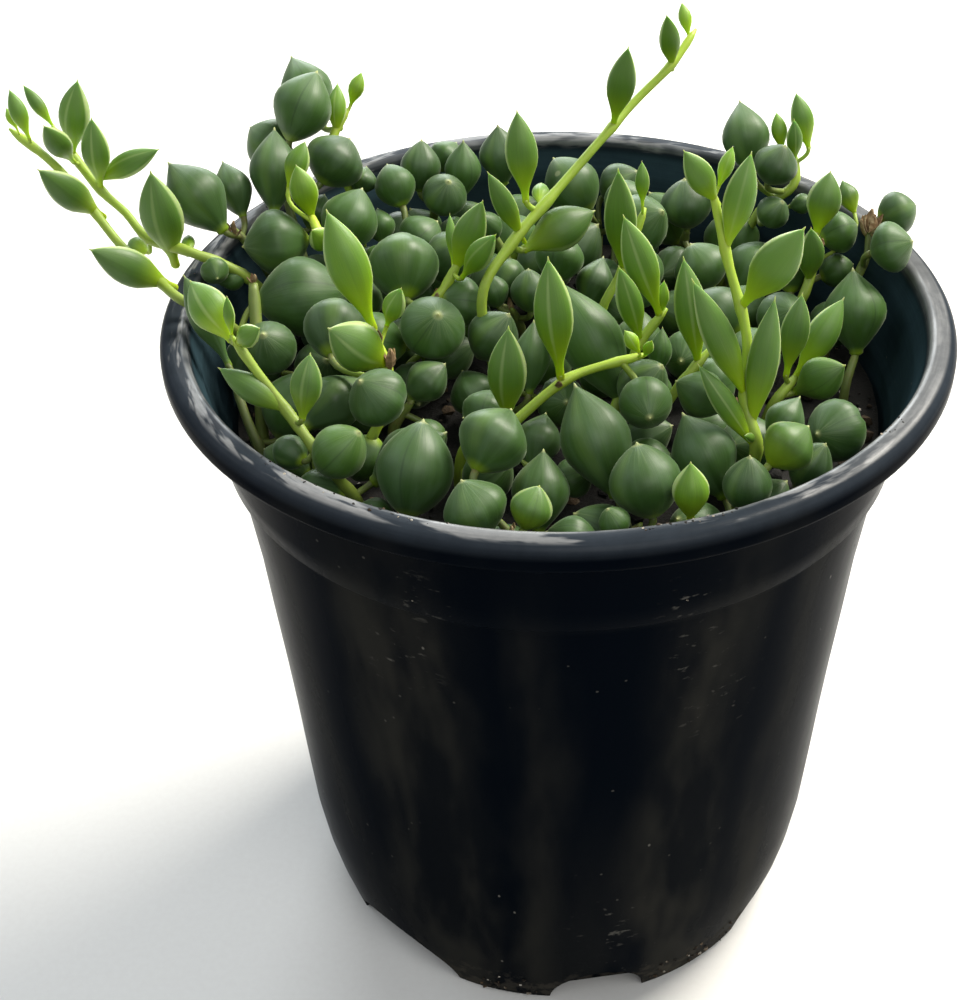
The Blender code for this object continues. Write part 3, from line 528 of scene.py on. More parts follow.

# %% [markdown]
# The pot's finish is black plastic that is glossy on the wall and satin on the lip, where hands wear it.
# Soft brown upright columns on the blue-black plastic are painted reflections, and the wall is browner
# towards the foot. The grey of the lip and of the inside is painted sky reflection, broken by rubbed
# streaks round the lip and rings inside; the ledge and the lip's inner edge carry wear and painted
# highlights. Dust, chips, fine scuffs and splashes of growing mix make it a used pot. Each of these is
# one mask, and the masks raise the roughness and the surface as well as the colour.

# %% Pot finish
POT_BLUE = colour(3, 7, 14)
REFLECTION_AND_FOOT_BROWN = colour(35, 35, 33)
INSIDE_SKY_REFLECTION = colour(44, 61, 68)
LIP_WEAR_AND_SKY_REFLECTION = colour(46, 52, 59)
LEDGE_WEAR_AND_HIGHLIGHT = colour(122, 123, 124)
EDGE_WEAR_AND_GLINT = colour(140, 142, 143)
DUST = colour(120, 118, 112)
SPLASH = colour(78, 74, 67)
# The painted brown reflection columns: compass in degrees, half-width in degrees and strength.
REFLECTION_COLUMNS = [
    (-162, 10, 0.5), (-140, 8, 0.4), (-115, 14, 1.1), (-95, 10, 0.5), (-64, 14, 1.2), (-40, 9, 0.6),
    (-12, 10, 0.4), (16, 9, 0.5), (58, 12, 0.5), (104, 9, 0.5), (141, 11, 0.5),
]
# Where the wall was knocked: x, y and z in millimetres, and how far the scuffs reach.
SCUFF_SPOTS = [
    ((18, -42, 79), 8), ((22, -38.5, 67), 9), ((16, -46, 91), 6), ((-18, -45, 90), 7),
    ((-21, -40, 76), 8), ((9, -41, 22), 9), ((30, 34, 70), 9), ((-36, 26, 60), 10),
]
INSIDE_FIT = 0.4

inner_heights, inner_radii = zip(*sorted((height, radius) for radius, height in INSIDE))
inside = []
for point in pot.data.vertices:
    height = point.co.z / MM
    inner = np.interp(height, inner_heights, inner_radii) + INSIDE_FIT
    inside.append(float(height > FLOOR_TOP - 0.1 and math.hypot(point.co.x, point.co.y) / MM < inner))
set_number(pot.data, "inside", inside)

# Where a point lies on the pot, and the large patterns.
plastic = Finish("pot_plastic", Specular_IOR_Level=0.003, Coat_Roughness=0.24)
place = plastic.place()
x, y, z = plastic.parts(place)
inside = plastic.attribute("inside")
reach = plastic.length(plastic.stretched(place, (1, 1, 0)))
compass = y.math("ARCTAN2", y, x)
wander = plastic.noise(plastic.stretched(place, (1, 1, 0.3)), 45.0, 2.0)
streaks = plastic.noise(plastic.stretched(place, (1, 1, 0.32)), 85.0, 3.0, 0.6)
low = z.step(16 * MM, 0)

# Painted reflections: soft brown columns up the wall, and browner towards the foot.
reflection_and_foot_brown = 0.35 * z.step(60 * MM, 10 * MM) * streaks.step(0.35, 0.65)
for turn, wide, strength in REFLECTION_COLUMNS:
    away = abs(compass + 0.5 * (wander - 0.5) - math.radians(turn))
    reflection_and_foot_brown = reflection_and_foot_brown + strength * away.step(math.radians(wide), 0) * (0.2 + 0.8 * streaks.step(0.36, 0.64))
reflection_and_foot_brown = reflection_and_foot_brown * (0.35 + 0.65 * z.step(94 * MM, 84 * MM))

# The lip, its flat ledge and what rubbing has left on it, with painted highlights on the ledge and the
# inner edge.
lip = z.step(103.9 * MM, 105.6 * MM)
ledge = lip * reach.step(53.5 * MM, 52.9 * MM)
band = z.step(101.8 * MM, 102.3 * MM)
wear = plastic.noise(place, 420.0, 5.0, 0.65)
round_about = plastic.node("CombineXYZ", {}, {0: reach, 1: z, 2: 0.03 * compass * reach})
rub = plastic.noise(round_about, 2200.0, 3.0, 0.6)
clusters = plastic.noise(place, 55.0, 1.0).step(0.50, 0.62)
along_lip = plastic.node("CombineXYZ", {}, {0: reach, 1: z, 2: 0.22 * compass * reach})
rubbed_and_highlit = plastic.noise(along_lip, 420.0, 3.0, 0.6).step(0.48, 0.57)
# Right of the ledge, towards the light, an even painted highlight.
rubbed_and_highlit = rubbed_and_highlit + 0.75 * (1 - rubbed_and_highlit) * abs(compass).step(1.0, 0.5)
dashes = plastic.noise(plastic.stretched(place, (1, 1, 0)), 130.0, 2.0, 0.6).step(0.44, 0.62)
# A painted glint along the lip's inner edge, broken into dashes, with wear.
edge_wear_and_glint = abs(reach - 51.0 * MM).step(0.7 * MM, 0.25 * MM) * z.step(104.6 * MM, 105.0 * MM)
edge_wear_and_glint = edge_wear_and_glint * (0.3 + 0.7 * dashes)

# Dust, grit, splashes and scuffs.
specks = plastic.specks(place, 800.0, 0.22, 0.06) * clusters
grit = plastic.specks(plastic.stretched(place, (1, 1, 0.7), (0.3, 0.1, 0.7)), 460.0, 0.12, 0.03)
splash = (wear + 0.35 * low).step(0.74, 0.88) * low
drawn_out = plastic.stretched(place, (0.35, 0.35, 1), (0, 0, 0.4))
scratches = plastic.noise(drawn_out, 1100.0, 3.0).step(0.60, 0.68)
knocked = plastic.near(place, *SCUFF_SPOTS[0])
for spot, far in SCUFF_SPOTS[1:]:
    knocked = knocked + plastic.near(place, spot, far)
scuffs = scratches * knocked * wear.step(0.45, 0.6)

# The colour, layer on layer, then the gloss and the surface.
# Painted reflections: brown columns up the wall, browner towards the foot.
shade = plastic.mix(POT_BLUE, REFLECTION_AND_FOOT_BROWN, reflection_and_foot_brown)
# The grey inside is painted sky reflection, broken by rub rings.
shade = plastic.mix(shade, INSIDE_SKY_REFLECTION, inside * (0.4 + 0.4 * wear + 0.4 * rub))
# The lip's grey is painted sky reflection, with wear and rub streaks.
shade = plastic.mix(shade, LIP_WEAR_AND_SKY_REFLECTION, lip * (0.3 + 0.5 * wear + 0.4 * rub))
# The ledge's pale grey is wear in patches and painted highlight on the right.
shade = plastic.mix(shade, LEDGE_WEAR_AND_HIGHLIGHT, ledge * rubbed_and_highlit * (0.45 + 0.7 * wear) * (0.5 + 0.8 * rub))
# The inner edge's pale grey: painted glint and wear.
shade = plastic.mix(shade, EDGE_WEAR_AND_GLINT, 0.6 * edge_wear_and_glint * (0.4 + 0.6 * rub))
shade = plastic.mix(shade, DUST, (0.2 + 0.3 * band) * specks + 0.45 * grit + 0.30 * scuffs)
shade = plastic.mix(shade, SPLASH, 0.45 * splash)
rough = 0.18 + 0.14 * reflection_and_foot_brown + 0.08 * wear + 0.3 * inside + 0.3 * specks + 0.4 * splash + 0.3 * scuffs
coat = lip * (0.05 + 0.08 * rub) + 0.28 * ledge * rubbed_and_highlit * (0.4 + 0.6 * rub) + 0.4 * edge_wear_and_glint
plastic.feed(Base_Color=shade, Roughness=rough, Coat_Weight=coat)
plastic.bump(0.25 * wear + 0.15 * rub + 0.3 * splash + 0.5 * grit - 0.2 * scuffs, 0.10 * MM, 0.5)
pot.data.materials.clear()
pot.data.materials.append(plastic.material)
finish_piece(pot, "pot", "pot")

# %% [markdown]
# ## The growing mix
#
# The pot is filled to 15 mm under its lip with a dark mix of bark and peat, and pale grit lies on it. The
# body is turned like the pot, from its foot on the pot's floor up to a low mound. Its top is then
# roughened by two Displace modifiers: a coarse one for clods and a fine one for crumbs.

# %% Turn the growing mix
SOIL_TOP = 90.5
SOIL_MOUND = 1.0
SOIL_MOUND_RADIUS = 22.0
SOIL_SIDES = 96
SOIL_EDGE = 45.6
SOIL_RINGS = 34
SOIL_SINK = 0.4
SOIL_SMOOTH = 60
SOIL_SIDE = [
    (32.0, FLOOR_TOP + 0.3), (32.2, 9.2), (37.6, 13.9), (39.0, 19.0), (40.7, 46.0), (42.5, 71.0),
    (44.2, 84.5), (SOIL_EDGE, 87.5),
]
# The two roughenings of the top: name, size of the lumps and how far they rise, in millimetres.
ROUGHENINGS = [("clods", 5.0, 1.8), ("crumbs", 1.3, 1.1)]


def mound(reach):
    """How far the growing mix is heaped up over its edge, at a distance from the axis."""
    return SOIL_MOUND * min(1.0, (SOIL_EDGE - reach) / (SOIL_EDGE - SOIL_MOUND_RADIUS))


crown_reach = [SOIL_EDGE * (1 - ring / SOIL_RINGS) for ring in range(SOIL_RINGS)]
crown_rings = [(reach, SOIL_TOP - SOIL_SINK + mound(reach)) for reach in crown_reach]
soil = turned("growing_mix", SOIL_SIDE + crown_rings, SOIL_SIDES)

crown = soil.vertex_groups.new(name="crown")
on_top = [point.index for point in soil.data.vertices if point.co.z > (SOIL_TOP - 1.0) * MM]
crown.add(on_top, 1.0, "REPLACE")
for name, size, depth in ROUGHENINGS:
    pattern = bpy.data.textures.new(name, "CLOUDS")
    pattern.noise_scale = size * MM
    pattern.noise_depth = 2
    rough_up = soil.modifiers.new(name, "DISPLACE")
    rough_up.texture = pattern
    rough_up.texture_coords = "GLOBAL"
    rough_up.direction = "Z"
    rough_up.vertex_group = crown.name
    rough_up.strength = depth * MM
    rough_up.mid_level = 0.6
apply_all(soil)
bpy.ops.object.shade_smooth_by_angle(angle=math.radians(SOIL_SMOOTH))
soil_height = max(point.co.z for point in soil.data.vertices) / MM
print("growing mix up to", round(soil_height, 2), "mm")

# %% [markdown]
# Loose crumbs, chips of bark and pale grit lie on top. Three small lumps are modelled once: an ico sphere
# whose points are drawn in and out, flattened as bark chips are. Copies of them are strewn by a seeded
# draw and sink in a little. The same lumps serve again on the pot's lip and at its foot.

# %% Model three crumbs
CRUMB_RAGGED = 0.16
CRUMB_SMOOTH = 50


def crumb_master(name, flat, seed):
    """A small lump of twenty faces, one unit wide."""
    start()
    bpy.ops.mesh.primitive_ico_sphere_add(subdivisions=1, radius=0.5)
    lump = bpy.context.object
    lump.name = name
    edit()
    bpy.ops.mesh.select_all(action="SELECT")
    bpy.ops.transform.vertex_random(offset=CRUMB_RAGGED, seed=seed)
    bpy.ops.transform.resize(value=(1.0, 0.75, flat), center_override=(0, 0, 0))
    bpy.ops.object.mode_set(mode="OBJECT")
    bpy.ops.object.shade_smooth_by_angle(angle=math.radians(CRUMB_SMOOTH))
    lump.hide_render = True
    return lump


CRUMBS = [crumb_master("lump", 0.8, 1), crumb_master("chip", 0.4, 2), crumb_master("splinter", 0.3, 3)]
print("crumbs:", [len(lump.data.polygons) for lump in CRUMBS], "faces each")


# %% Strew crumbs
CRUMB_SEED = 11
CRUMB_COUNT = 900
CRUMB_SIZES = (0.6, 0.8, 1.0, 1.4, 2.0, 2.6)
CRUMB_WANDER = (0.8, 1.2)
CRUMB_TINTS = (0.0, 0.8)
CRUMB_REACH = SOIL_EDGE - 0.8
CRUMB_DEPTHS = (-0.5, 0.2)
CRUMB_TILT = 0.6
# Grit is small and pale: up to this size, this share of the small crumbs, and these tints.
GRIT_SIZE = 1.2
GRIT_SHARE = 0.2
GRIT_TINTS = (0.9, 1.0)
SOIL_TINT = 0.1


def strewn(name, places, draw):
    """Crumbs joined in one mesh. A place is x, y, z, size in millimetres and a tint from 0 to 1."""
    copies = []
    for x_mm, y_mm, z_mm, size, tint in places:
        master = draw.choice(CRUMBS)
        turn = Matrix.Rotation(draw.uniform(0, 2 * math.pi), 4, "Z")
        turn = turn @ Matrix.Rotation(draw.uniform(-CRUMB_TILT, CRUMB_TILT), 4, "X")
        put = Matrix.Translation(Vector((x_mm, y_mm, z_mm)) * MM)
        copies.append(copied(master, name, put @ turn @ Matrix.Scale(size * MM, 4)))
        set_number(copies[-1].data, "tint", tint)
    return joined(copies)


def around(turn, reach, height):
    """A place in millimetres from its compass in radians, its distance from the axis and its height."""
    return (reach * math.cos(turn), reach * math.sin(turn), height)


draw = random.Random(CRUMB_SEED)
places = []
for _ in range(CRUMB_COUNT):
    turn = draw.uniform(0, 2 * math.pi)
    reach = CRUMB_REACH * math.sqrt(draw.random())
    size = draw.choice(CRUMB_SIZES) * draw.uniform(*CRUMB_WANDER)
    grit = size < GRIT_SIZE and draw.random() < GRIT_SHARE
    tint = draw.uniform(*GRIT_TINTS) if grit else draw.uniform(*CRUMB_TINTS)
    height = SOIL_TOP + mound(reach) + draw.uniform(*CRUMB_DEPTHS)
    places.append((*around(turn, reach, height), size, tint))
set_number(soil.data, "tint", SOIL_TINT)
soil = joined([soil, strewn("loose_crumbs", places, draw)])
print("crumbs strewn:", len(places))

# %% [markdown]
# Watering has thrown crumbs and white grit on the lip, and the pot's foot has picked up dirt. Both gather
# in the same few places as on the real pot, so each place is listed by its compass and its spread.

# %% Dirt on the lip and at the foot
# Each row: the compass and the spread in degrees, and how many crumbs.
LIP_DIRT = [
    (-128, 7, 16), (-113, 8, 16), (-76, 8, 20), (-70, 4, 10), (-35, 9, 10), (40, 30, 8), (150, 25, 8),
]
FOOT_DIRT = [
    (-106, 4, 14), (-98, 3, 8), (-64, 3, 14), (-55, 4, 14), (-45, 3, 8), (0, 4, 8), (100, 5, 10),
    (150, 4, 8),
]
# Single crumbs on the rim band and the collar: compass in degrees and height.
RIM_DIRT = [
    (-99, 99.2), (-97, 98.8), (-94, 102.9), (-79, 103.2), (-71, 103.4), (-112, 90.0), (-71, 91.0),
]
# Where dirt sits: how far from the axis on the lip, and how high at the foot. The wall's radius is read
# by height from two short tables, one for the foot and one for the rim.
LIP_REACHES, FOOT_RISE = (50.7, 52.0), (0.4, 6.0)
FOOT_HEIGHTS, FOOT_RADII = (0.4, 3.0, 6.5), (37.7, 38.3, 39.2)
RIM_HEIGHTS, RIM_RADII = (88, 99, 101.5, 102.3), (47.8, 49.8, 50.6, 54.1)
# How big the crumbs are, and their tints.
LIP_SIZES, LIP_TINTS = (0.2, 0.25, 0.3, 0.5), (0.2, 0.4, 0.7, 0.88)
FOOT_SIZES, FOOT_TINTS = (0.4, 0.6, 0.9), (0.3, 0.95)
RIM_SIZES, RIM_TINT = (0.35, 0.6), 0.9

dirt = []
for middle, spread, count in LIP_DIRT:
    for _ in range(count):
        turn = math.radians(draw.gauss(middle, 0.5 * spread))
        reach = draw.uniform(*LIP_REACHES)
        inward = min(0.0, reach - LIP_EDGE_MIDDLE)
        rise = math.sqrt(max(0.0, LIP_EDGE_RADIUS ** 2 - inward ** 2))
        height = POT_HEIGHT - LIP_EDGE_RADIUS + rise
        size = draw.choice(LIP_SIZES) * draw.uniform(*CRUMB_WANDER)
        dirt.append((*around(turn, reach, height), size, draw.choice(LIP_TINTS)))
for middle, spread, count in FOOT_DIRT:
    for _ in range(count):
        turn = math.radians(draw.gauss(middle, 0.5 * spread))
        height = draw.uniform(*FOOT_RISE)
        reach = np.interp(height, FOOT_HEIGHTS, FOOT_RADII)
        size = draw.choice(FOOT_SIZES) * draw.uniform(*CRUMB_WANDER)
        dirt.append((*around(turn, reach, height), size, draw.uniform(*FOOT_TINTS)))
for turn, height in RIM_DIRT:
    reach = np.interp(height, RIM_HEIGHTS, RIM_RADII)
    dirt.append((*around(math.radians(turn), reach, height), draw.uniform(*RIM_SIZES), RIM_TINT))
soil = joined([soil, strewn("dirt", dirt, draw)])
print("crumbs on the pot:", len(dirt))

# %% [markdown]
# One finish serves all of it. The tint of each crumb picks its colour from a ramp: nearly black peat,
# brown bark, tan chips and, at the top end, pale grit. Damp and dry patches change it from place to
# place.

# %% Growing mix finish
MIX_STOPS = [(0.0, colour(11, 11, 10)), (0.35, colour(24, 21, 17)), (0.62, colour(48, 38, 28)),
             (0.80, colour(84, 68, 50)), (0.90, colour(140, 134, 122)), (1.0, colour(206, 202, 194))]

mix = Finish("growing_mix", Specular_IOR_Level=0.35)
place = mix.place()
tint = mix.attribute("tint")
damp = mix.noise(place, 90.0, 3.0)
grain = mix.noise(place, 1600.0, 4.0, 0.7)
shade = mix.lit(mix.ramp(tint + 0.35 * (grain - 0.5), MIX_STOPS), 0.55 + 0.6 * damp + 0.5 * grain)
mix.feed(Base_Color=shade, Roughness=0.98 - 0.25 * damp)
mix.bump(grain, 0.4 * MM, 0.8)
soil.data.materials.clear()
soil.data.materials.append(mix.material)
soil.name = "growing_mix"
finish_piece(soil, "soil", "soil")

# %% [markdown]
# ## Where every strand and leaf stands
#
# The strands are placed by the same rule as in the plain model, so each leaf below lies exactly where its
# plain one is. The long shoots and the leaves that the photograph shows are listed in
# millimetres: a stem by the points that it passes, a leaf by its middle, compass, lift, length and width.
# The rest follows a rule. Short strands stand in rings between the shoots, small pearls fill the gaps,
# and all leaves are nudged apart, as real ones push each other, until none presses into another.

# %% Long shoots
# Long shoots: where each stem stands in the soil, then the points that it passes.
SHOOTS = {
    "shoot_reaching_left_low": [
        (-41, 2), (-46, -2, 104), (-51, -4, 108.5), (-56, 2, 109), (-61.5, 8, 110.5), (-66.5, 12, 115.5),
        (-71, 15, 119.5), (-77.5, 20, 122),
    ],
    "shoot_reaching_left_high": [
        (-37, 12), (-44, 9, 104), (-51.5, 8, 109), (-58, 11, 109.5), (-61.5, 14, 112), (-65, 16, 114.5),
        (-69, 19, 118.5), (-72, 22, 121.5),
    ],
    "shoot_left_low": [(-39.5, -18.5), (-41.5, -16.5, 97), (-43.5, -12.5, 101)],
    "shoot_left_inner": [
        (-25, -30), (-29, -32, 101.5), (-34, -28, 107), (-37.5, -26, 111.5), (-40.5, -24, 115.5),
    ],
    "shoot_bright_left": [
        (-21, -19), (-24.5, -22, 97.5), (-22.5, -20, 101.5), (-22, -18, 106), (-23.5, -16, 110),
    ],
    "shoot_small_bright": [(-34, 12), (-32, 15, 104), (-33.5, 12, 108.5), (-36, 17, 111)],
    "shoot_back_left": [(-30, 28), (-31, 31, 104), (-34.5, 36, 111.5), (-32, 40, 116)],
    "shoot_tall": [
        (-8, -4), (-10.5, -2, 107), (-6.5, 3, 113), (-1.5, 8, 117), (6.5, 17, 122.5), (11, 22, 125.5),
        (16, 26, 129), (19.5, 30, 132.5),
    ],
    "shoot_mid_left": [(-18, 2), (-19.5, 0, 102), (-16, 3, 106), (-13.5, 6, 109.5)],
    "shoot_diagonal": [
        (-13, -24), (-12, -24, 98.5), (-7.5, -23, 100), (-1, -20, 104.5), (3, -18, 106),
        (11.5, -16, 107.5),
    ],
    "shoot_centre_right": [(5, -15), (7, -15, 96), (9.5, -11, 102), (11, -9, 105), (14.5, -7, 109)],
    "shoot_centre_back": [(4, 0), (6, 2, 103), (9, 5, 108), (12, 9, 115.5)],
    "shoot_leaning_right": [(12, -14), (15.5, -12, 98.5), (21, -8, 104)],
    "shoot_upright_right": [
        (23, -28), (25, -29, 101.5), (23.5, -26, 106.5), (23.5, -22, 114), (21, -17, 122),
        (19, -13, 129.5),
    ],
    "shoot_right_fan": [(29, -8), (30.5, -8, 95.5), (33.5, -5, 97.5)],
    "shoot_right_back": [(31, 12), (35.5, 12, 99), (38, 17, 105.5)],
    "shoot_back_right": [(26, 30), (31, 33, 102), (36, 34, 106), (36.5, 37, 109.5)],
    "shoot_heap_back_left": [(-36, 20), (-40, 26, 104), (-41, 31.5, 110), (-39, 37, 111)],
    "shoot_heap_left": [(-40, 17), (-43.5, 17, 102), (-47, 17, 108)],
    "shoot_heap_right": [(39, 8), (43, 12, 102), (45, 14, 106)],
}

print("long shoots:", len(SHOOTS))

# %% Leaves that the photograph shows
# Young leaves that stand on the long shoots: middle x, y, z, compass, lift, length and width.
SHOOT_LEAVES = [
    (-76.5, 19, 124, 130, 45, 3.5, 1.5), (-75, 18, 125, 125, 35, 7.5, 2.5),
    (-74, 24, 123.5, -120, 60, 7.5, 2), (-67, 18, 124, 95, 70, 13, 4.5),
    (-69, 14, 122.5, -105, 55, 10.5, 3.5), (-67, 9, 117.5, -120, 60, 14.5, 4.5),
    (-64, 16, 120, 85, 70, 12, 4), (-62, 16, 118.5, -50, 65, 12.5, 3.5),
    (-57.5, -1, 111.5, -155, 55, 14.5, 5), (-60.5, 14, 106.5, 130, 40, 6.5, 3),
    (-55, 9, 113.5, -85, 85, 16.5, 6), (-53, 13, 107.5, 120, 40, 6, 2),
    (-47, -8, 107.5, 133, 51, 14, 4.2), (-42.5, -22, 117.5, 150, 65, 9.5, 5),
    (-40.5, -24, 118, 100, 80, 5.5, 1.5), (-38.5, -25, 116, -15, 50, 5.5, 3),
    (-37.5, -27, 109, -135, 50, 11.5, 3.5), (-31, -29, 111, 60, 70, 9, 4),
    (-26.5, -13, 118, 140, 65, 17, 5.5), (-21, -16, 114.5, -40, 65, 8, 3),
    (-25.5, -19, 110.5, -160, 55, 11, 6.5), (-36.5, 17, 114, 125, 65, 8.5, 4),
    (-37.5, 20, 116, 35, 50, 7.5, 3.5), (-35.5, 12, 108.5, -115, 60, 7, 3.5),
    (-33.5, 39, 116, 40, 70, 8.5, 3), (-31, 41, 118.5, 45, 60, 5.5, 2.5),
    (18, 31, 133.5, 130, 75, 5, 2), (15.5, 25, 132.5, -70, 70, 10, 3),
    (8.5, 17, 129.5, -60, 70, 13.5, 4), (-5, 8, 123.5, 110, 75, 13, 4.5),
    (-7, 4, 118, -90, 75, 12.5, 3), (0, 7, 113, 20, 30, 12, 6),
    (-10, 0, 112, -40, 60, 12, 3.5), (-2.5, 12, 116, 70, 25, 6, 2.5),
    (-12.5, 6, 112.5, 0, 75, 11.5, 4.5), (-15, 8, 111, 95, 55, 7.5, 1.5),
    (-6.5, -23, 108.5, 20, 80, 16, 5), (-0.5, -19, 114.5, 120, 85, 18, 5),
    (9.5, -17, 110, 145, 35, 4, 2), (11.5, -17, 109, -75, 75, 3.5, 1.5),
    (11.5, -7, 115.5, 105, 80, 16.5, 4.5), (9.5, -10, 111, -120, 80, 14.5, 3.5),
    (13.5, -7, 110, 55, 80, 5.5, 2), (8.5, 4, 115.5, -70, 85, 18.5, 4.5),
    (11.5, 9, 119, 95, 70, 6.5, 2), (17.5, -8, 108.5, 65, 80, 16.5, 4.5),
    (17.5, -14, 131.5, -140, 65, 10, 3.5), (20.5, -12, 132, 50, 60, 5.5, 2),
    (22, -15, 128.5, 90, 75, 13.5, 4), (26, -21, 123, -40, 70, 14.5, 5.5),
    (25, -25, 111, 65, 75, 19, 4), (20.5, -25, 114.5, -145, 70, 20, 4),
    (21, -28, 106.5, -130, 75, 15, 3), (23.5, -29, 103, -80, 70, 6, 1.2),
    (32, -6, 104, 60, 75, 12.5, 4), (36, -4, 101.5, 20, 55, 13.5, 4.5),
    (35.5, -8, 99, -35, 45, 9.5, 6), (38, 17, 112, 60, 70, 9.5, 5),
    (36, 12, 106, -85, 70, 13, 4), (33.5, 38, 113, 110, 60, 6, 2.5),
    (36, 36, 112.5, -130, 70, 8, 2.5), (37, 38, 114.5, 130, 65, 9, 3.5),
]

# Pearls that show on top of the bed, given the same way. An eighth number is the youth, from 0 to 1, of
# a pearl that is brighter than the rest.
PEARLS = [
    (-52, 18, 112, 139, 39, 13, 8.2), (-38.5, 42.5, 117.5, 118, 47, 12.5, 7.8),
    (-39, 34.5, 118, 52, 44, 11.3, 8.4), (-44, 37, 112, 150, 35, 7.6, 7.6),
    (-44, 26, 111, 90, 50, 13, 7), (-48, 24.5, 107, 120, 45, 9.2, 5.4),
    (-33, 26.5, 112, 45, 40, 8.1, 8.6), (-30.5, 21.5, 108, 60, 45, 10.3, 8.1),
    (-41, 12, 107, -160, 5, 9.7, 9.2), (-35, 4, 103, 5, 5, 13.5, 10.8),
    (-29, 32, 108, 75, 50, 4.3, 4.3), (-24.5, 28.5, 108, 120, 45, 7, 5.9),
    (-21.5, 33, 109, 45, 40, 8.1, 5.9), (-16, 32.5, 108, 140, 40, 9.2, 5.4),
    (-17, 39.5, 108, 45, 40, 5.4, 5.4), (-11, 37, 109, 90, 50, 9.7, 6.5),
    (-18, 28.5, 106, 75, 50, 7, 6.5), (-21.5, 23.5, 105, 30, 35, 7, 7),
    (-25.5, 22.5, 105, 105, 50, 5.4, 4.3), (-36, 27, 106, 135, 40, 5.9, 4.9),
    (-20.5, 7, 106, 10, 10, 11.3, 9.7), (-26, 18, 103, 45, 40, 5.4, 4.9),
    (-14, 4, 103, 15, 15, 7.6, 7), (-9.5, 8, 102, 75, 50, 5.4, 4.3),
    (-5.5, 9, 102, 105, 50, 6.5, 5.4), (-10.5, 24.5, 104, 75, 50, 7.6, 4.3),
    (-9, -4, 102, 25, 25, 8.6, 7), (-16, -6.5, 103, -70, 65, 8.6, 8.6),
    (-16, -12.5, 99, 5, 10, 7, 5.4), (-12, -13.5, 98, 55, 45, 8.1, 5.4),
    (-9.5, -13, 97, 45, 40, 4.9, 3.8), (-28.5, -19, 99, 15, 15, 10.8, 7),
    (-26, -32.5, 103, 85, 50, 8.6, 6.5, 0.34), (-10.5, -21.5, 98, 105, 50, 6.5, 5.9),
    (-19, -26.5, 98, 25, 25, 11.9, 7.6), (-17.5, -34, 100, 85, 50, 12.4, 9.2),
    (-10.5, -42.5, 103, 145, 60, 7.6, 7.6), (-3, -44.5, 104, 40, 65, 5.9, 4.9, 0.45),
    (-9.5, -27, 98, 40, 40, 8.6, 6.5), (-4, -34, 100, 85, 50, 10.8, 7),
    (-2.5, -9, 102, 100, 50, 10.3, 4.9), (-3, -22.5, 99, 45, 40, 8.6, 5.9),
    (4.5, -11, 103, 100, 50, 18.9, 8.1), (4, -30.5, 101, 120, 45, 15.7, 8.6),
    (2, -44, 100.5, 175, 10, 6.5, 4.9), (7, -42, 101, 75, 50, 4.3, 3.8),
    (5, 15, 100, 45, 40, 8.6, 5.4), (10.5, -15.5, 101, 75, 50, 8.6, 6.5),
    (14, -4, 100, 80, 50, 7, 3.2), (11, -16.5, 96, 60, 45, 7.6, 5.9),
    (10.5, -36.5, 101, 160, 25, 9.7, 8.6), (18, -32.5, 101, 80, 50, 12.4, 8.1),
    (15.5, -42, 105, 150, 60, 8.1, 4.3, 0.8), (24, -35, 101, 145, 35, 8.1, 5.9),
    (27, -33.5, 103, 30, 35, 7, 6.5, 0.42), (29, -25, 103, 45, 40, 7.6, 4.9),
    (31, -29.5, 100, 60, 45, 7.6, 5.4), (21, -9, 98, 45, 40, 7.6, 7),
    (19.5, 33, 103, 105, 50, 8.1, 7.6), (21, 19, 100, 160, 25, 7.6, 8.1),
    (29.5, 36.5, 112, 105, 50, 11.9, 7), (32.5, 30.5, 110, 30, 30, 7, 6.5),
    (32, 28.5, 106, 45, 40, 5.4, 4.9), (37.5, 30, 105, 45, 40, 4.5, 3),
    (44, 26, 107, 120, 45, 5.5, 3, 0.5), (49, 17.5, 109, 15, 15, 6, 6),
    (47.5, 9, 107, 20, 25, 6.5, 7), (42, 19.5, 105, 15, 15, 6, 6), (42, 19, 101, 15, 15, 5.5, 5),
    (42, 7, 101, 105, 50, 12.5, 8.5), (34.5, 7.5, 99, 75, 50, 8.1, 7.6),
    (-48.5, 5.5, 107, 45, 40, 4.3, 3.8), (-46, 9.5, 105, 105, 50, 4.9, 3.2),
    (-33.5, -29.5, 101, 90, 50, 5.4, 4.3),
]

print("leaves read from the photograph:", len(SHOOT_LEAVES) + len(PEARLS))

# %% Sizes of the rule
# The plain pot's inside, as (radius, height), which the leaves settle in.
POT_INSIDE = [
    (51.0, POT_HEIGHT), (50.2, 104.8), (49.2, 100.8), (47.7, 95.0), (46.4, 88.0), (45.2, 85.5),
    (43.5, 71.0), (41.6, 46.0), (39.9, 19.0), (38.6, 13.5), (32.8, 9.5), (32.6, FLOOR_TOP),
]

GAP = 0.3
HOLE_DEPTH = 6.0
STEM_ROOT = SOIL_TOP - HOLE_DEPTH + GAP
STEM_RADIUS = 0.8
STEM_STEP = 5.5
STEM_COLLAR = 1.5
PETIOLE_RADIUS = 0.5
FACET_SWELL = 1.06
LEAF_GAP = 0.45
CLASH_COST = 40.0
CROWD_COST = 2.0
FOOT_SPACING = 1.2
LEAST_AIM = 0.35
AIM_STEP = 0.3
AIM_TRIES = 16
OWN_LEAF_GAP = 0.1
LIP_RADIUS = 52.2
LIP_MIDDLE = 103.7
LIP_REACH = 2.9

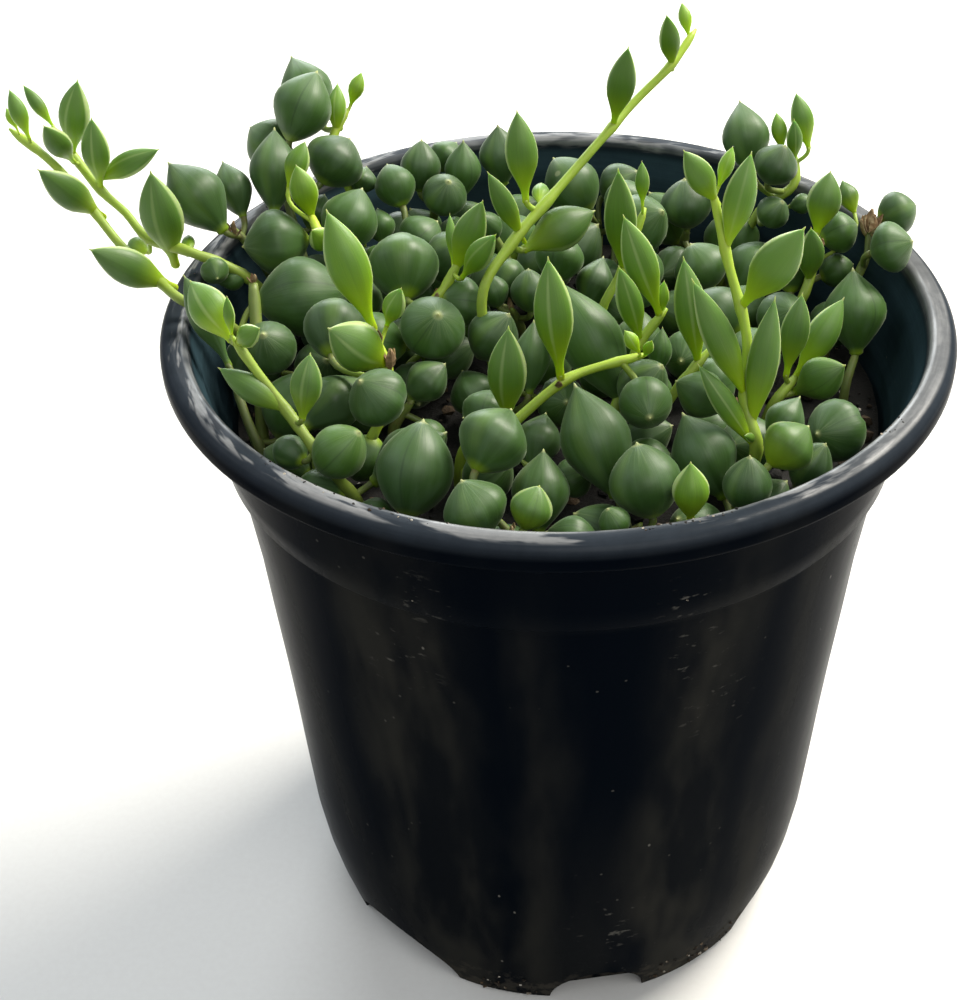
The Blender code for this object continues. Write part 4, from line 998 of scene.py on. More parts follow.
# Short strands fill the bed between the shoots: rings of roots as (radius, how many).
TUFT_RINGS = [(0.0, 1), (13.5, 6), (27.0, 11), (40.5, 18)]
TUFT_TURN_WANDER = 0.12
TUFT_REACH_WANDER = 1.0
TUFT_CLEARANCE = 5.5
TUFT_LOWEST_TOP = 97.0
TUFT_HIGHEST_TOP = 108.0
TUFT_LEAN = 4.0
TUFT_BEND = 0.35
# Hidden and small pearls fill the rest of the bed: their first grid, size, height and freedom to move.
FILL_SPACING = 8.2
FILL_RADIUS = 42.0
FILL_WIDTH = (6.0, 8.5)
FILL_LEAST_WIDTH = 4.2
FILL_HEIGHT = (96.0, 101.0)
FILL_FREEDOM = 50.0
FILL_REACH = 12.0
FILL_WANDER = 0.2
FILL_CLEARANCE = 3.0
FILL_SHRINK = 1.5
FILL_TRIES = 6
# How freely the measured leaves move while the bed settles.
SHOOT_FREEDOM = 0.4
PEARL_FREEDOM = 1.0
# Settling: how many steps, how often and how far each leaf looks round, and how fast it moves.
SETTLE_STEPS = 160
SETTLE_LOOK = 16
SETTLE_SIGHT = 3.0
SETTLE_PACE = 0.6
LONGEST_STEP = 0.8
SETTLED = 0.02
STEM_PUSH = 0.6
# A part of the bed where the soil lies open.
BARE_X = 24.0
BARE_Y = (-22.0, 6.0)
SEED = 7

# %% Curves and headings
def smooth_path(points, step):
    """Points on a smooth curve through the given ones, about one step apart."""
    points = [np.array(p, float) for p in points]
    ends = [2 * points[0] - points[1]] + points + [2 * points[-1] - points[-2]]
    path = [points[0]]
    for before, a, b, after in zip(ends, ends[1:], ends[2:], ends[3:]):
        count = max(1, round(float(np.linalg.norm(b - a)) / step))
        for k in range(1, count + 1):
            t = k / count
            path.append(0.5 * (2 * a + (b - before) * t + (2 * before - 5 * a + 4 * b - after) * t**2
                               + (3 * a - before - 3 * b + after) * t**3))
    return np.array(path)


def heading(compass, lift):
    turn, rise = math.radians(compass), math.radians(lift)
    return np.array([math.cos(rise) * math.cos(turn), math.cos(rise) * math.sin(turn), math.sin(rise)])


def fullness(t, length, width):
    """A leaf's half-width at t of its length, as a share of its widest. Slim ones end in long points."""
    slim = min(1.0, max(0.0, (length / width - 1.2) / 1.8))
    return math.sin(math.pi * t ** (1 + 0.3 * slim)) ** (0.62 + 0.33 * slim)


def unit(vector):
    return vector / np.linalg.norm(vector)


def distances(points, others):
    """How far each point is from each of the others, as a table."""
    return np.linalg.norm(points[:, None] - others[None], axis=2)


# %% Stems
def tuft_roots():
    """Short strands' places in the soil: rings of roots, clear of the long shoots' roots."""
    shoots = [np.array(points[0], float) for points in SHOOTS.values()]
    draw = random.Random(SEED)
    roots = []
    for radius, count in TUFT_RINGS:
        for number in range(count):
            wander = draw.uniform(-TUFT_TURN_WANDER, TUFT_TURN_WANDER)
            turn = 2 * math.pi * (number + wander) / count + radius
            reach = radius + draw.uniform(-TUFT_REACH_WANDER, TUFT_REACH_WANDER)
            place = np.array([reach * math.cos(turn), reach * math.sin(turn)])
            if min(np.linalg.norm(place - other) for other in shoots) > TUFT_CLEARANCE:
                roots.append(place)
    return roots


def rooted(root, points):
    """A stem's points with the stretch that stands upright in its hole put first."""
    return [(root[0], root[1], STEM_ROOT), (root[0], root[1], SOIL_TOP + STEM_COLLAR)] + points


def stem_paths():
    """Every strand's name and the points that its stem is bent through, from the root up."""
    paths = {name: rooted(points[0], points[1:]) for name, points in SHOOTS.items()}
    for number, (x, y) in enumerate(tuft_roots(), 1):
        paths[f"strand_{number:02d}"] = rooted((x, y), [(x, y, TUFT_LOWEST_TOP)])
    return paths


def grow_tufts(leaves, paths):
    """Each short strand grows up to where its pearls are. One that carries none is left out."""
    for name in [name for name in paths if name.startswith("strand")]:
        bases = [leaf.base() for leaf in leaves if leaf.owner == name]
        if not bases:
            continue
        root = np.array(paths[name][0])
        goal = np.mean(bases, axis=0)
        lean = goal[:2] - root[:2]
        lean *= min(1.0, TUFT_LEAN / max(float(np.hypot(*lean)), 1e-6))
        top = min(max(float(goal[2]), TUFT_LOWEST_TOP), TUFT_HIGHEST_TOP)
        x, y = root[:2] + lean
        bend = (*(root[:2] + TUFT_BEND * lean), 0.5 * (SOIL_TOP + STEM_COLLAR + top))
        paths[name] = rooted(root[:2], [bend, (x, y, top)])


# %% Leaves and what they touch
class Leaf:
    """One leaf or pearl: its middle, heading, length and width, and the strand that it grows on."""

    STATIONS = (0.14, 0.32, 0.5, 0.68, 0.86)

    def __init__(self, row, freedom):
        self.middle = np.array(row[:3], float)
        self.along = heading(row[3], row[4])
        self.length, self.width = float(row[5]), float(row[6])
        self.own_youth = row[7] if len(row) > 7 else None
        self.freedom = freedom
        self.owner = None
        self.foot = None

    def base(self):
        return self.middle - self.along * self.length / 2

    def balls(self):
        """Spheres that stand for the leaf's shape while it is being settled: middles and radii."""
        spread = [(t - 0.5) * self.length for t in self.STATIONS]
        middles = self.middle + np.outer(spread, self.along)
        widest = 0.5 * self.width * FACET_SWELL
        radii = [widest * fullness(t, self.length, self.width) for t in self.STATIONS]
        return middles, np.array(radii)


def inner_radius(height):
    rows = sorted((z, r) for r, z in POT_INSIDE)
    return np.interp(height, [z for z, _ in rows], [r for _, r in rows])


def wall_push(middles, radii):
    """How far each ball has to move to lie clear of the lip, the pot's wall and the soil."""
    reach = np.hypot(middles[:, 0], middles[:, 1]) + 1e-9
    outward = middles * (1, 1, 0) / reach[:, None]
    apart = middles - outward * LIP_RADIUS - (0, 0, LIP_MIDDLE)
    near = np.linalg.norm(apart, axis=1) + 1e-9
    push = apart * (np.maximum(0.0, radii + LIP_REACH + LEAF_GAP - near) / near)[:, None]
    inside = (middles[:, 2] < LIP_MIDDLE) & (reach < RIM_RADIUS)
    spare = inner_radius(middles[:, 2]) - LEAF_GAP - radii - reach
    push += outward * np.where(inside, np.minimum(0.0, spare), 0.0)[:, None]
    low = SOIL_TOP + SOIL_MOUND + LEAF_GAP + radii - middles[:, 2]
    push[:, 2] += np.where(reach < LIP_RADIUS - LIP_REACH, np.maximum(0.0, low), 0.0)
    return push


def stem_balls(paths):
    """Points along every stem's own centre line, and the name of each point's stem."""
    middles, owners = [], []
    for name, points in paths.items():
        line = smooth_path(points, STEM_STEP)
        quarters = np.linspace(0, 1, 5)[:4, None]
        line = np.concatenate([a + quarters * (b - a) for a, b in zip(line, line[1:])])
        middles.append(line)
        owners += [name] * len(line)
    return np.concatenate(middles), np.array(owners)


def all_balls(leaves, stems, owners):
    """The balls of all leaves, then the stems' points: middles, radii and the strand of each."""
    parts = [leaf.balls() for leaf in leaves]
    middles = np.concatenate([p[0] for p in parts] + [stems])
    radii = np.concatenate([p[1] for p in parts] + [np.full(len(stems), STEM_RADIUS)])
    names = np.concatenate([np.repeat([leaf.owner for leaf in leaves], len(Leaf.STATIONS)), owners])
    return middles, radii, names


def above_soil(stems):
    """True for the stem points that a leaf can grow from."""
    return stems[:, 2] > SOIL_TOP + 2 * STEM_COLLAR


def give_owners(leaves, paths):
    """Each leaf grows on the stem that passes nearest to its base."""
    stems, owners = stem_balls(paths)
    for leaf in leaves:
        apart = np.linalg.norm(stems - leaf.base(), axis=1)
        apart[~above_soil(stems)] = np.inf
        leaf.owner = str(owners[int(np.argmin(apart))])


# %% Nudge the leaves apart
def settle(leaves, paths):
    """Nudges the leaves apart until none presses into another strand, a wall or the soil."""
    stems, stem_owner = stem_balls(paths)
    count = len(Leaf.STATIONS)
    index = np.repeat(np.arange(len(leaves)), count)
    owner = np.array([leaf.owner for leaf in leaves])[index]
    freedom = np.array([leaf.freedom for leaf in leaves])[index]
    radii = np.concatenate([leaf.balls()[1] for leaf in leaves])
    middles = np.concatenate([leaf.balls()[0] for leaf in leaves])
    for step in range(SETTLE_STEPS):
        if step % SETTLE_LOOK == 0:
            near = distances(middles, middles)
            near = (near < radii[:, None] + radii[None] + SETTLE_SIGHT) & (index[:, None] != index[None])
            one, two = np.nonzero(near)
            gap = np.where(owner[one] == owner[two], OWN_LEAF_GAP, LEAF_GAP) + radii[one] + radii[two]
            share = freedom[one] / (freedom[one] + freedom[two])
            near = distances(middles, stems)
            near = (near < radii[:, None] + SETTLE_SIGHT) & (owner[:, None] != stem_owner[None])
            ball, place = np.nonzero(near)
        move = np.zeros_like(middles)
        apart = middles[one] - middles[two]
        distance = np.linalg.norm(apart, axis=1) + 1e-9
        np.add.at(move, one, apart * (np.maximum(0.0, gap - distance) * share / distance)[:, None])
        apart = middles[ball] - stems[place]
        distance = np.linalg.norm(apart, axis=1) + 1e-9
        deep = np.maximum(0.0, radii[ball] + STEM_RADIUS + LEAF_GAP - distance)
        np.add.at(move, ball, apart * (STEM_PUSH * deep / distance)[:, None])
        move += wall_push(middles, radii)
        strength = np.linalg.norm(move, axis=1).reshape(-1, count)
        strongest = move.reshape(-1, count, 3)[np.arange(len(leaves)), strength.argmax(axis=1)]
        shift = np.clip(strongest * SETTLE_PACE, -LONGEST_STEP, LONGEST_STEP)
        middles += np.repeat(shift, count, axis=0)
        if strength.max() < SETTLED:
            break
    for number, leaf in enumerate(leaves):
        leaf.middle = middles[number * count:(number + 1) * count].mean(axis=0)
    return leaves


# %% Fill the bed with small pearls
def bed_pearls(leaves):
    """Pearls on a loose grid over the bed, wherever no other leaf already takes the place."""
    draw = random.Random(SEED + 2)
    middles = np.array([leaf.middle for leaf in leaves])
    pearls = []
    rows = int(FILL_RADIUS / FILL_SPACING) + 1
    for row in range(-rows, rows + 1):
        for column in range(-rows, rows + 1):
            x = (column + 0.5 * (row % 2) + draw.uniform(-FILL_WANDER, FILL_WANDER)) * FILL_SPACING
            y = (row * math.sqrt(0.75) + draw.uniform(-FILL_WANDER, FILL_WANDER)) * FILL_SPACING
            width = draw.uniform(*FILL_WIDTH)
            height = draw.uniform(*FILL_HEIGHT)
            slant = (draw.uniform(-180, 180), draw.uniform(10, 60), width * draw.uniform(1.1, 1.3))
            bare = x > BARE_X and BARE_Y[0] < y < BARE_Y[1]
            if bare or math.hypot(x, y) > FILL_RADIUS:
                continue
            if np.linalg.norm(middles - (x, y, height), axis=1).min() < FILL_CLEARANCE:
                continue
            pearls.append(Leaf((x, y, height, *slant, width), FILL_FREEDOM))
    return pearls


def fit(leaves, paths):
    """Shrinks each bed pearl until it is clear of its neighbours. One that gets too small is left out."""
    stems, owners = stem_balls(paths)
    kept = list(leaves)
    for leaf in leaves:
        if leaf.freedom < FILL_FREEDOM:
            continue
        others = [other for other in kept if other is not leaf]
        middles, radii, names = all_balls(others, stems, owners)
        gap = np.where(names == leaf.owner, OWN_LEAF_GAP, LEAF_GAP)
        gap[len(names) - len(owners):][owners == leaf.owner] = -np.inf
        for _ in range(FILL_TRIES):
            centres, sizes = leaf.balls()
            room = distances(centres, middles) - sizes[:, None] - radii[None]
            short = max(0.0, -float((room - gap[None]).min()))
            short = max(short, float(np.linalg.norm(wall_push(centres, sizes), axis=1).max()))
            if short < SETTLED or leaf.width < FILL_LEAST_WIDTH:
                break
            leaf.length *= 1 - FILL_SHRINK * short / leaf.width
            leaf.width -= FILL_SHRINK * short
        if short >= SETTLED or leaf.width < FILL_LEAST_WIDTH:
            kept = others
    return kept


# %% Give each leaf its foot on a stem
def attach(leaves, paths):
    """Finds each leaf's foot: the point on its stem that its petiole reaches clear of the other strands.

    A bed pearl may take any strand's stem, and one that finds no clear way is left out.
    """
    stems, owners = stem_balls(paths)
    middles, radii, names = all_balls(leaves, stems, owners)
    own_number = np.repeat(np.arange(len(leaves)), len(Leaf.STATIONS))
    number = np.concatenate([own_number, np.full(len(stems), -1)])
    taken = np.full((1, 3), np.inf)
    kept = []
    for index, leaf in enumerate(leaves):
        filler = leaf.freedom == FILL_FREEDOM
        base = leaf.base() + leaf.along * 0.1 * leaf.length
        near = np.linalg.norm(stems - base, axis=1)
        mine = (near < FILL_REACH) if filler else (owners == leaf.owner)
        best = None
        for place in np.flatnonzero(mine & above_soil(stems)):
            foot = stems[place]
            others = (names != owners[place]) & (number != index)
            line = base + np.linspace(0, 1, 9)[:, None] * (foot - base)
            room = distances(line, middles[others]) - radii[others][None]
            clash = max(0.0, PETIOLE_RADIUS + LEAF_GAP - float(room.min()))
            crowd = int((np.linalg.norm(taken - foot, axis=1) < FOOT_SPACING).sum())
            cost = float(near[place]) + CLASH_COST * clash + CROWD_COST * crowd
            if best is None or cost < best[0]:
                best = (cost, foot, str(owners[place]), clash)
        if filler and (best is None or best[3] > 0):
            continue
        leaf.foot, leaf.owner = best[1], best[2]
        names[number == index] = leaf.owner
        taken = np.vstack([taken, leaf.foot])
        kept.append(leaf)
    return kept


def aim(leaves):
    """Turns each leaf so that its petiole runs into its base, not back along its side."""
    for leaf in leaves:
        for _ in range(AIM_TRIES):
            petiole = leaf.base() - leaf.foot
            if petiole @ leaf.along > LEAST_AIM * np.linalg.norm(petiole):
                break
            leaf.along = unit(leaf.along + AIM_STEP * unit(leaf.middle - leaf.foot))


def plant():
    """Every strand's stem and the settled leaves that grow on it."""
    paths = stem_paths()
    leaves = [Leaf(row, SHOOT_FREEDOM) for row in SHOOT_LEAVES]
    leaves += [Leaf(row, PEARL_FREEDOM) for row in PEARLS]
    give_owners(leaves, paths)
    grow_tufts(leaves, paths)
    give_owners(leaves, paths)
    aim(attach(leaves, paths))
    settle(leaves, paths)
    pearls = bed_pearls(leaves)
    give_owners(pearls, paths)
    leaves = fit(settle(leaves + pearls, paths), paths)
    leaves = attach(leaves, paths)
    aim(leaves)
    carrying = {leaf.owner for leaf in leaves}
    return {name: points for name, points in paths.items() if name in carrying}, leaves


paths, leaves = plant()
print("strands:", len(paths), "leaves:", len(leaves))

# %% [markdown]
# ## Leaf forms
#
# A leaf of this plant is a pouch filled with water. Old ones are nearly round, with a short pale point;
# others are drawn out to a cone; young ones are slim, with a blunt margin on both sides. Each form is
# modelled once, one unit long and one unit in half-width: a sphere's rings are resized to the leaf's
# outline and moved to their places, the middle of the leaf is bellied, and one line of points is pressed
# in for the seam that many leaves show. Copies are then stretched to each leaf's own size.

# %% Model the leaf forms
LEAF_SEGMENTS = 24
BUD_SEGMENTS = 12
LEAF_STATIONS = (0.012, 0.035, 0.07, 0.12, 0.18, 0.25, 0.33, 0.41, 0.49, 0.57, 0.65, 0.72, 0.79, 0.85,
                 0.9, 0.935, 0.955, 0.97, 0.988)
BUD_STATIONS = (0.03, 0.1, 0.22, 0.38, 0.54, 0.7, 0.83, 0.92, 0.97)
BODY_END = 0.972
NIB_START = 0.95
NIB_RADIUS = 0.065
LEAF_NECK = 0.22
NECK_ROUND = 0.03
SEAM_PLACE = 0.26
SEAM_WIDTH = 0.04
TUCK_START = 0.42
SLIM_TUCK = 0.6


def leaf_outline(t, slim, cone):
    """Half-width at t of the length: the plain leaf's outline, with a neck below and a nib on top."""
    body = min(1.0, t / BODY_END)
    full = fullness(body, 1.2 + 1.8 * slim, 1.0)
    ahead = max(0.0, (body - 0.5) / 0.5)
    behind = max(0.0, (TUCK_START - t) / TUCK_START)
    neck = LEAF_NECK * min(1.0, math.sqrt(t / NECK_ROUND)) if t < 0.5 else 0.0
    nib = NIB_RADIUS * math.sqrt((1 - t) / (1 - NIB_START)) if t > NIB_START else 0.0
    return max(neck, nib, full * (1 - cone * ahead ** 2) * (1 - SLIM_TUCK * slim * behind))


def leaf_form(name, slim, cone, belly, seam, stations=LEAF_STATIONS, segments=LEAF_SEGMENTS):
    """One leaf along +Z from its base at 0 to its tip at 1. Its outer side faces -Y."""
    start()
    bpy.ops.mesh.primitive_uv_sphere_add(segments=segments, ring_count=len(stations) + 1, radius=1.0)
    form = bpy.context.object
    form.name = name
    edit()
    rings = {}
    for point in bmesh.from_edit_mesh(form.data).verts:
        rings.setdefault(round(point.co.z, 4), []).append(point.index)
    heights = sorted(rings)
    for height, t in zip(heights, (0.0, *stations, 1.0)):
        chosen = set(rings[height])
        pick(lambda point: point.index in chosen)
        wide = math.sqrt(max(0.0, 1 - height ** 2))
        if wide > 0.01:
            half = leaf_outline(t, slim, cone)
            bpy.ops.transform.resize(value=(half / wide, half / wide, 1), center_override=(0, 0, height))
        bpy.ops.transform.translate(value=(0, -belly * math.sin(math.pi * t), t - height))
    if seam:
        pick(lambda point: 0.1 < point.co.z < 0.9 and point.co.y < 0
             and abs(point.co.x - SEAM_PLACE * math.hypot(point.co.x, point.co.y)) < SEAM_WIDTH)
        bpy.ops.transform.resize(value=(1 - seam, 1 - seam, 1), center_override=(0, 0, 0.5))
    bpy.ops.object.mode_set(mode="OBJECT")
    bpy.ops.object.shade_smooth()
    where = np.array([point.co for point in form.data.vertices])
    spine = where[:, 1] + belly * np.sin(np.pi * where[:, 2])
    reach = np.hypot(where[:, 0], spine) + 1e-9
    place = np.column_stack([where[:, 0] / reach, spine / reach, where[:, 2]])
    layer = form.data.attributes.new("leaf_place", "FLOAT_VECTOR", "POINT")
    layer.data.foreach_set("vector", place.astype(np.float32).ravel())
    form.hide_render = True
    return form


# Each form: its name, how slim, how conical and how bellied it is, and how deep its seam is.
FORMS = {
    "round": leaf_form("round_pearl", 0.0, 0.12, 0.02, 0.0),
    "seamed": leaf_form("seamed_pearl", 0.1, 0.26, 0.03, 0.09),
    "pointed": leaf_form("pointed_pearl", 0.35, 0.44, 0.04, 0.07),
    "spoon": leaf_form("spoon_leaf", 0.55, 0.12, 0.10, 0.0),
    "slim": leaf_form("slim_leaf", 0.85, 0.08, 0.14, 0.0),
    "bud": leaf_form("bud_leaf", 0.7, 0.1, 0.12, 0.0, BUD_STATIONS, BUD_SEGMENTS),
}
print("leaf forms:", {name: len(form.data.polygons) for name, form in FORMS.items()})

# %% [markdown]
# ## Age
#
# Age gives a leaf its colour: the youngest, at the tips of the shoots, are bright yellow-green, and the
# oldest, low in the bed, dark green. Each strand has its own youth, read from the photograph, and a
# leaf's youth also rises along its stem. The draw is a number that is different for every leaf, so that
# no two are quite the same colour.

# %% How young each leaf is
LEAF_SEED = 5
# shoot_tall's youth is set higher than its age, which paints the light that shines through its backlit
# leaves.
STRAND_YOUTH = {
    "shoot_reaching_left_low": 0.48, "shoot_reaching_left_high": 0.50, "shoot_left_inner": 0.44,
    "shoot_left_low": 0.12, "shoot_bright_left": 0.68, "shoot_small_bright": 0.72,
    "shoot_back_left": 0.62, "shoot_tall": 0.58, "shoot_mid_left": 0.58, "shoot_diagonal": 0.58,
    "shoot_centre_right": 0.56, "shoot_centre_back": 0.55, "shoot_leaning_right": 0.45,
    "shoot_upright_right": 0.58, "shoot_right_fan": 0.45, "shoot_right_back": 0.42,
    "shoot_back_right": 0.50,
}
TIP_GAIN = 0.12
BUD_LENGTH = 7.5
BUD_GAIN = 0.10
OLD_YOUTH = (0.0, 0.22)
SMALL_PEARL = 6.0
SMALL_GAIN = 0.12
WIDE_LEAF = 5.6
WIDE_LOSS = 0.26
YOUTH_WANDER = 0.06
BUD_KIND_LENGTH = 6.0
SPOON_RATIO = 2.6
POINTED_RATIO = 1.45
STEM_YOUTH = 0.25
ROLL_WANDER = 0.35


def stem_youth(name, share):
    """Youth of a stem at a share of its length from the root."""
    return STRAND_YOUTH.get(name, STEM_YOUTH) + TIP_GAIN * (share - 0.5) * 2


def leaf_youth(leaf, draw):
    """A leaf's own youth. The draw is made for every leaf, also where the youth is listed."""
    if leaf.freedom == SHOOT_FREEDOM and leaf.owner in STRAND_YOUTH:
        line = smooth_path(paths[leaf.owner], 1.0)
        share = np.argmin(np.linalg.norm(line - leaf.foot, axis=1)) / len(line)
        bud = BUD_GAIN * max(0.0, BUD_LENGTH - leaf.length)
        wide = WIDE_LOSS * max(0.0, leaf.width - WIDE_LEAF)
        return stem_youth(leaf.owner, share) + bud - wide + draw.uniform(-YOUTH_WANDER, YOUTH_WANDER)
    small = max(0.0, 1 - leaf.width / SMALL_PEARL)
    youth = draw.uniform(*OLD_YOUTH) + SMALL_GAIN * small
    return youth if leaf.own_youth is None else leaf.own_youth


def leaf_kind(leaf, draw):
    """The form that a leaf is a copy of."""
    ratio = leaf.length / leaf.width
    if leaf.freedom == SHOOT_FREEDOM:
        if leaf.length < BUD_KIND_LENGTH:
            return "bud"
        return "spoon" if ratio < SPOON_RATIO else "slim"
    if ratio > POINTED_RATIO:
        return "pointed"
    return draw.choice(("round", "seamed", "seamed"))


print("strands with their own youth:", len(STRAND_YOUTH))

# %% [markdown]
# ## Stems and stalks
#
# A stem is a smooth green cord that swells a little where a leaf leaves it, and thins towards its tip.
# Each leaf hangs on a short curved stalk that flows out of the stem and into the leaf's base. Both are
# splines of one bevelled curve, with a radius at every point, and the curve is then made a mesh.

# %% Grow the stems
STEM_FINE_STEP = 1.3
STEM_THICK = 0.80
STEM_THIN = 0.55
NODE_SWELL = 0.28
NODE_REACH = 1.3
STALK_POINTS = 9
STALK_FOOT = 0.60
STALK_WAIST = 0.45
STALK_SINK = 0.06
STALK_LEAVES_STEM = 0.25
STALK_MEETS_LEAF = 0.45
STEM_END = (0.95, 0.75, 0.35)
STEM_BEVEL = 3


def stalk_line(leaf):
    """The leaf stalk's curve: out of the stem, then in line with the leaf, as points and radii."""
    base = leaf.base()
    inside = base + leaf.along * STALK_SINK * leaf.length
    far = np.linalg.norm(inside - leaf.foot)
    first = leaf.foot + unit(inside - leaf.foot) * STALK_LEAVES_STEM * far
    second = inside - leaf.along * STALK_MEETS_LEAF * far
    t = np.linspace(0, 1, STALK_POINTS)[:, None]
    early = (1 - t) ** 3 * leaf.foot + 3 * (1 - t) ** 2 * t * first
    line = early + 3 * (1 - t) * t ** 2 * second + t ** 3 * inside
    end = min(STALK_FOOT, 0.5 * LEAF_NECK * leaf.width)
    waist = min(STALK_WAIST, 0.85 * end)
    return line, np.interp(t[:, 0], [0, 0.2, 0.7, 1], [0.5 * (STALK_FOOT + end), waist, waist, 0.9 * end])


def stem_line(name, feet):
    """The stem's curve as points and radii: thin at its tip, swollen at each node, with a round end."""
    line = smooth_path(paths[name], STEM_FINE_STEP)
    share = np.linspace(0, 1, len(line))
    thick = STEM_THICK + (STEM_THIN - STEM_THICK) * share
    if len(feet):
        near = distances(line, np.array(feet)).min(axis=1)
        thick *= 1 + NODE_SWELL * np.exp(-(near / NODE_REACH) ** 2)
    thick[-len(STEM_END):] *= STEM_END
    return line, thick


def cords(name, lines):
    """Round cords of one bevelled curve, made a mesh. Each line is its points and its radii."""
    curve = bpy.data.curves.new(name, "CURVE")
    curve.dimensions = "3D"
    curve.bevel_depth = MM
    curve.bevel_resolution = STEM_BEVEL
    curve.use_fill_caps = True
    for line, thick in lines:
        spline = curve.splines.new("POLY")
        spline.points.add(len(line) - 1)
        spline.points.foreach_set("co", np.column_stack([line * MM, np.ones(len(line))]).ravel())
        spline.points.foreach_set("radius", thick)
    made = bpy.data.objects.new(name, curve)
    bpy.context.scene.collection.objects.link(made)
    only(made)
    bpy.ops.object.convert(target="MESH")
    clean(made)
    bpy.ops.object.shade_smooth()
    return made


def stems_of(name, strand):
    """The stem and the stalks of one strand as one mesh, with the youth of every point."""
    lines = [stem_line(name, [leaf.foot for leaf in strand])] + [stalk_line(leaf) for leaf in strand]
    stems = cords(name + "_stems", lines)
    youth = [[stem_youth(name, share) for share in np.linspace(0, 1, len(lines[0][0]))]]
    root = stem_youth(name, 0.5)
    for leaf in strand:
        youth.append(root + (max(leaf.youth, STEM_YOUTH) - root) * np.linspace(0, 1, STALK_POINTS))
    known = np.concatenate([line for line, _ in lines])
    where = np.array([point.co for point in stems.data.vertices]) / MM
    nearest = distances(where, known).argmin(axis=1)
    set_number(stems.data, "youth", np.concatenate(youth)[nearest])
    return stems


draw = random.Random(LEAF_SEED)
for leaf in leaves:
    leaf.youth = leaf_youth(leaf, draw)
    leaf.draw = draw.random()
    leaf.kind = leaf_kind(leaf, draw)
    leaf.roll = draw.uniform(-ROLL_WANDER, ROLL_WANDER)
print("leaf kinds:", {kind: sum(leaf.kind == kind for leaf in leaves) for kind in FORMS})

# %% [markdown]
# ## Leaf and stem finish
#
# One recipe serves pearls and young leaves. Youth picks the colour from a ramp. The place on the leaf
# adds what grows there: fine paler lines from base to tip, a yellow-green base, a straw-coloured point,
# paler margins on young leaves and a dark seam on old ones. The base of a young leaf is made brighter
# still, a painted glow of the light that shines through it, and its pale margins are widened along the
# edges into a painted rim light. Old pearls carry a grey-blue bloom, rubbed off in patches. Light enters
# a young leaf and comes out again yellow-green, so it has more subsurface than an old one. A number that
# is the same everywhere is set on the shader's own socket.

# %% Leaf finish
LEAF_STOPS = [(0.0, colour(49, 78, 32)), (0.25, colour(59, 92, 32)), (0.5, colour(74, 110, 32)),
              (0.75, colour(92, 134, 20)), (1.0, colour(136, 172, 20))]
BLOOM = colour(98, 122, 96)
LEAF_BASE_AND_GLOW = colour(166, 196, 10)
LEAF_POINT = colour(176, 180, 122)
PALE_LINE_AND_RIM_LIGHT = colour(196, 212, 148)
DUSTY = colour(116, 142, 96)
WINDOW = colour(92, 122, 48)
RAY = colour(134, 148, 106)
SEAM = colour(22, 42, 16)
SCAR = colour(150, 156, 116)


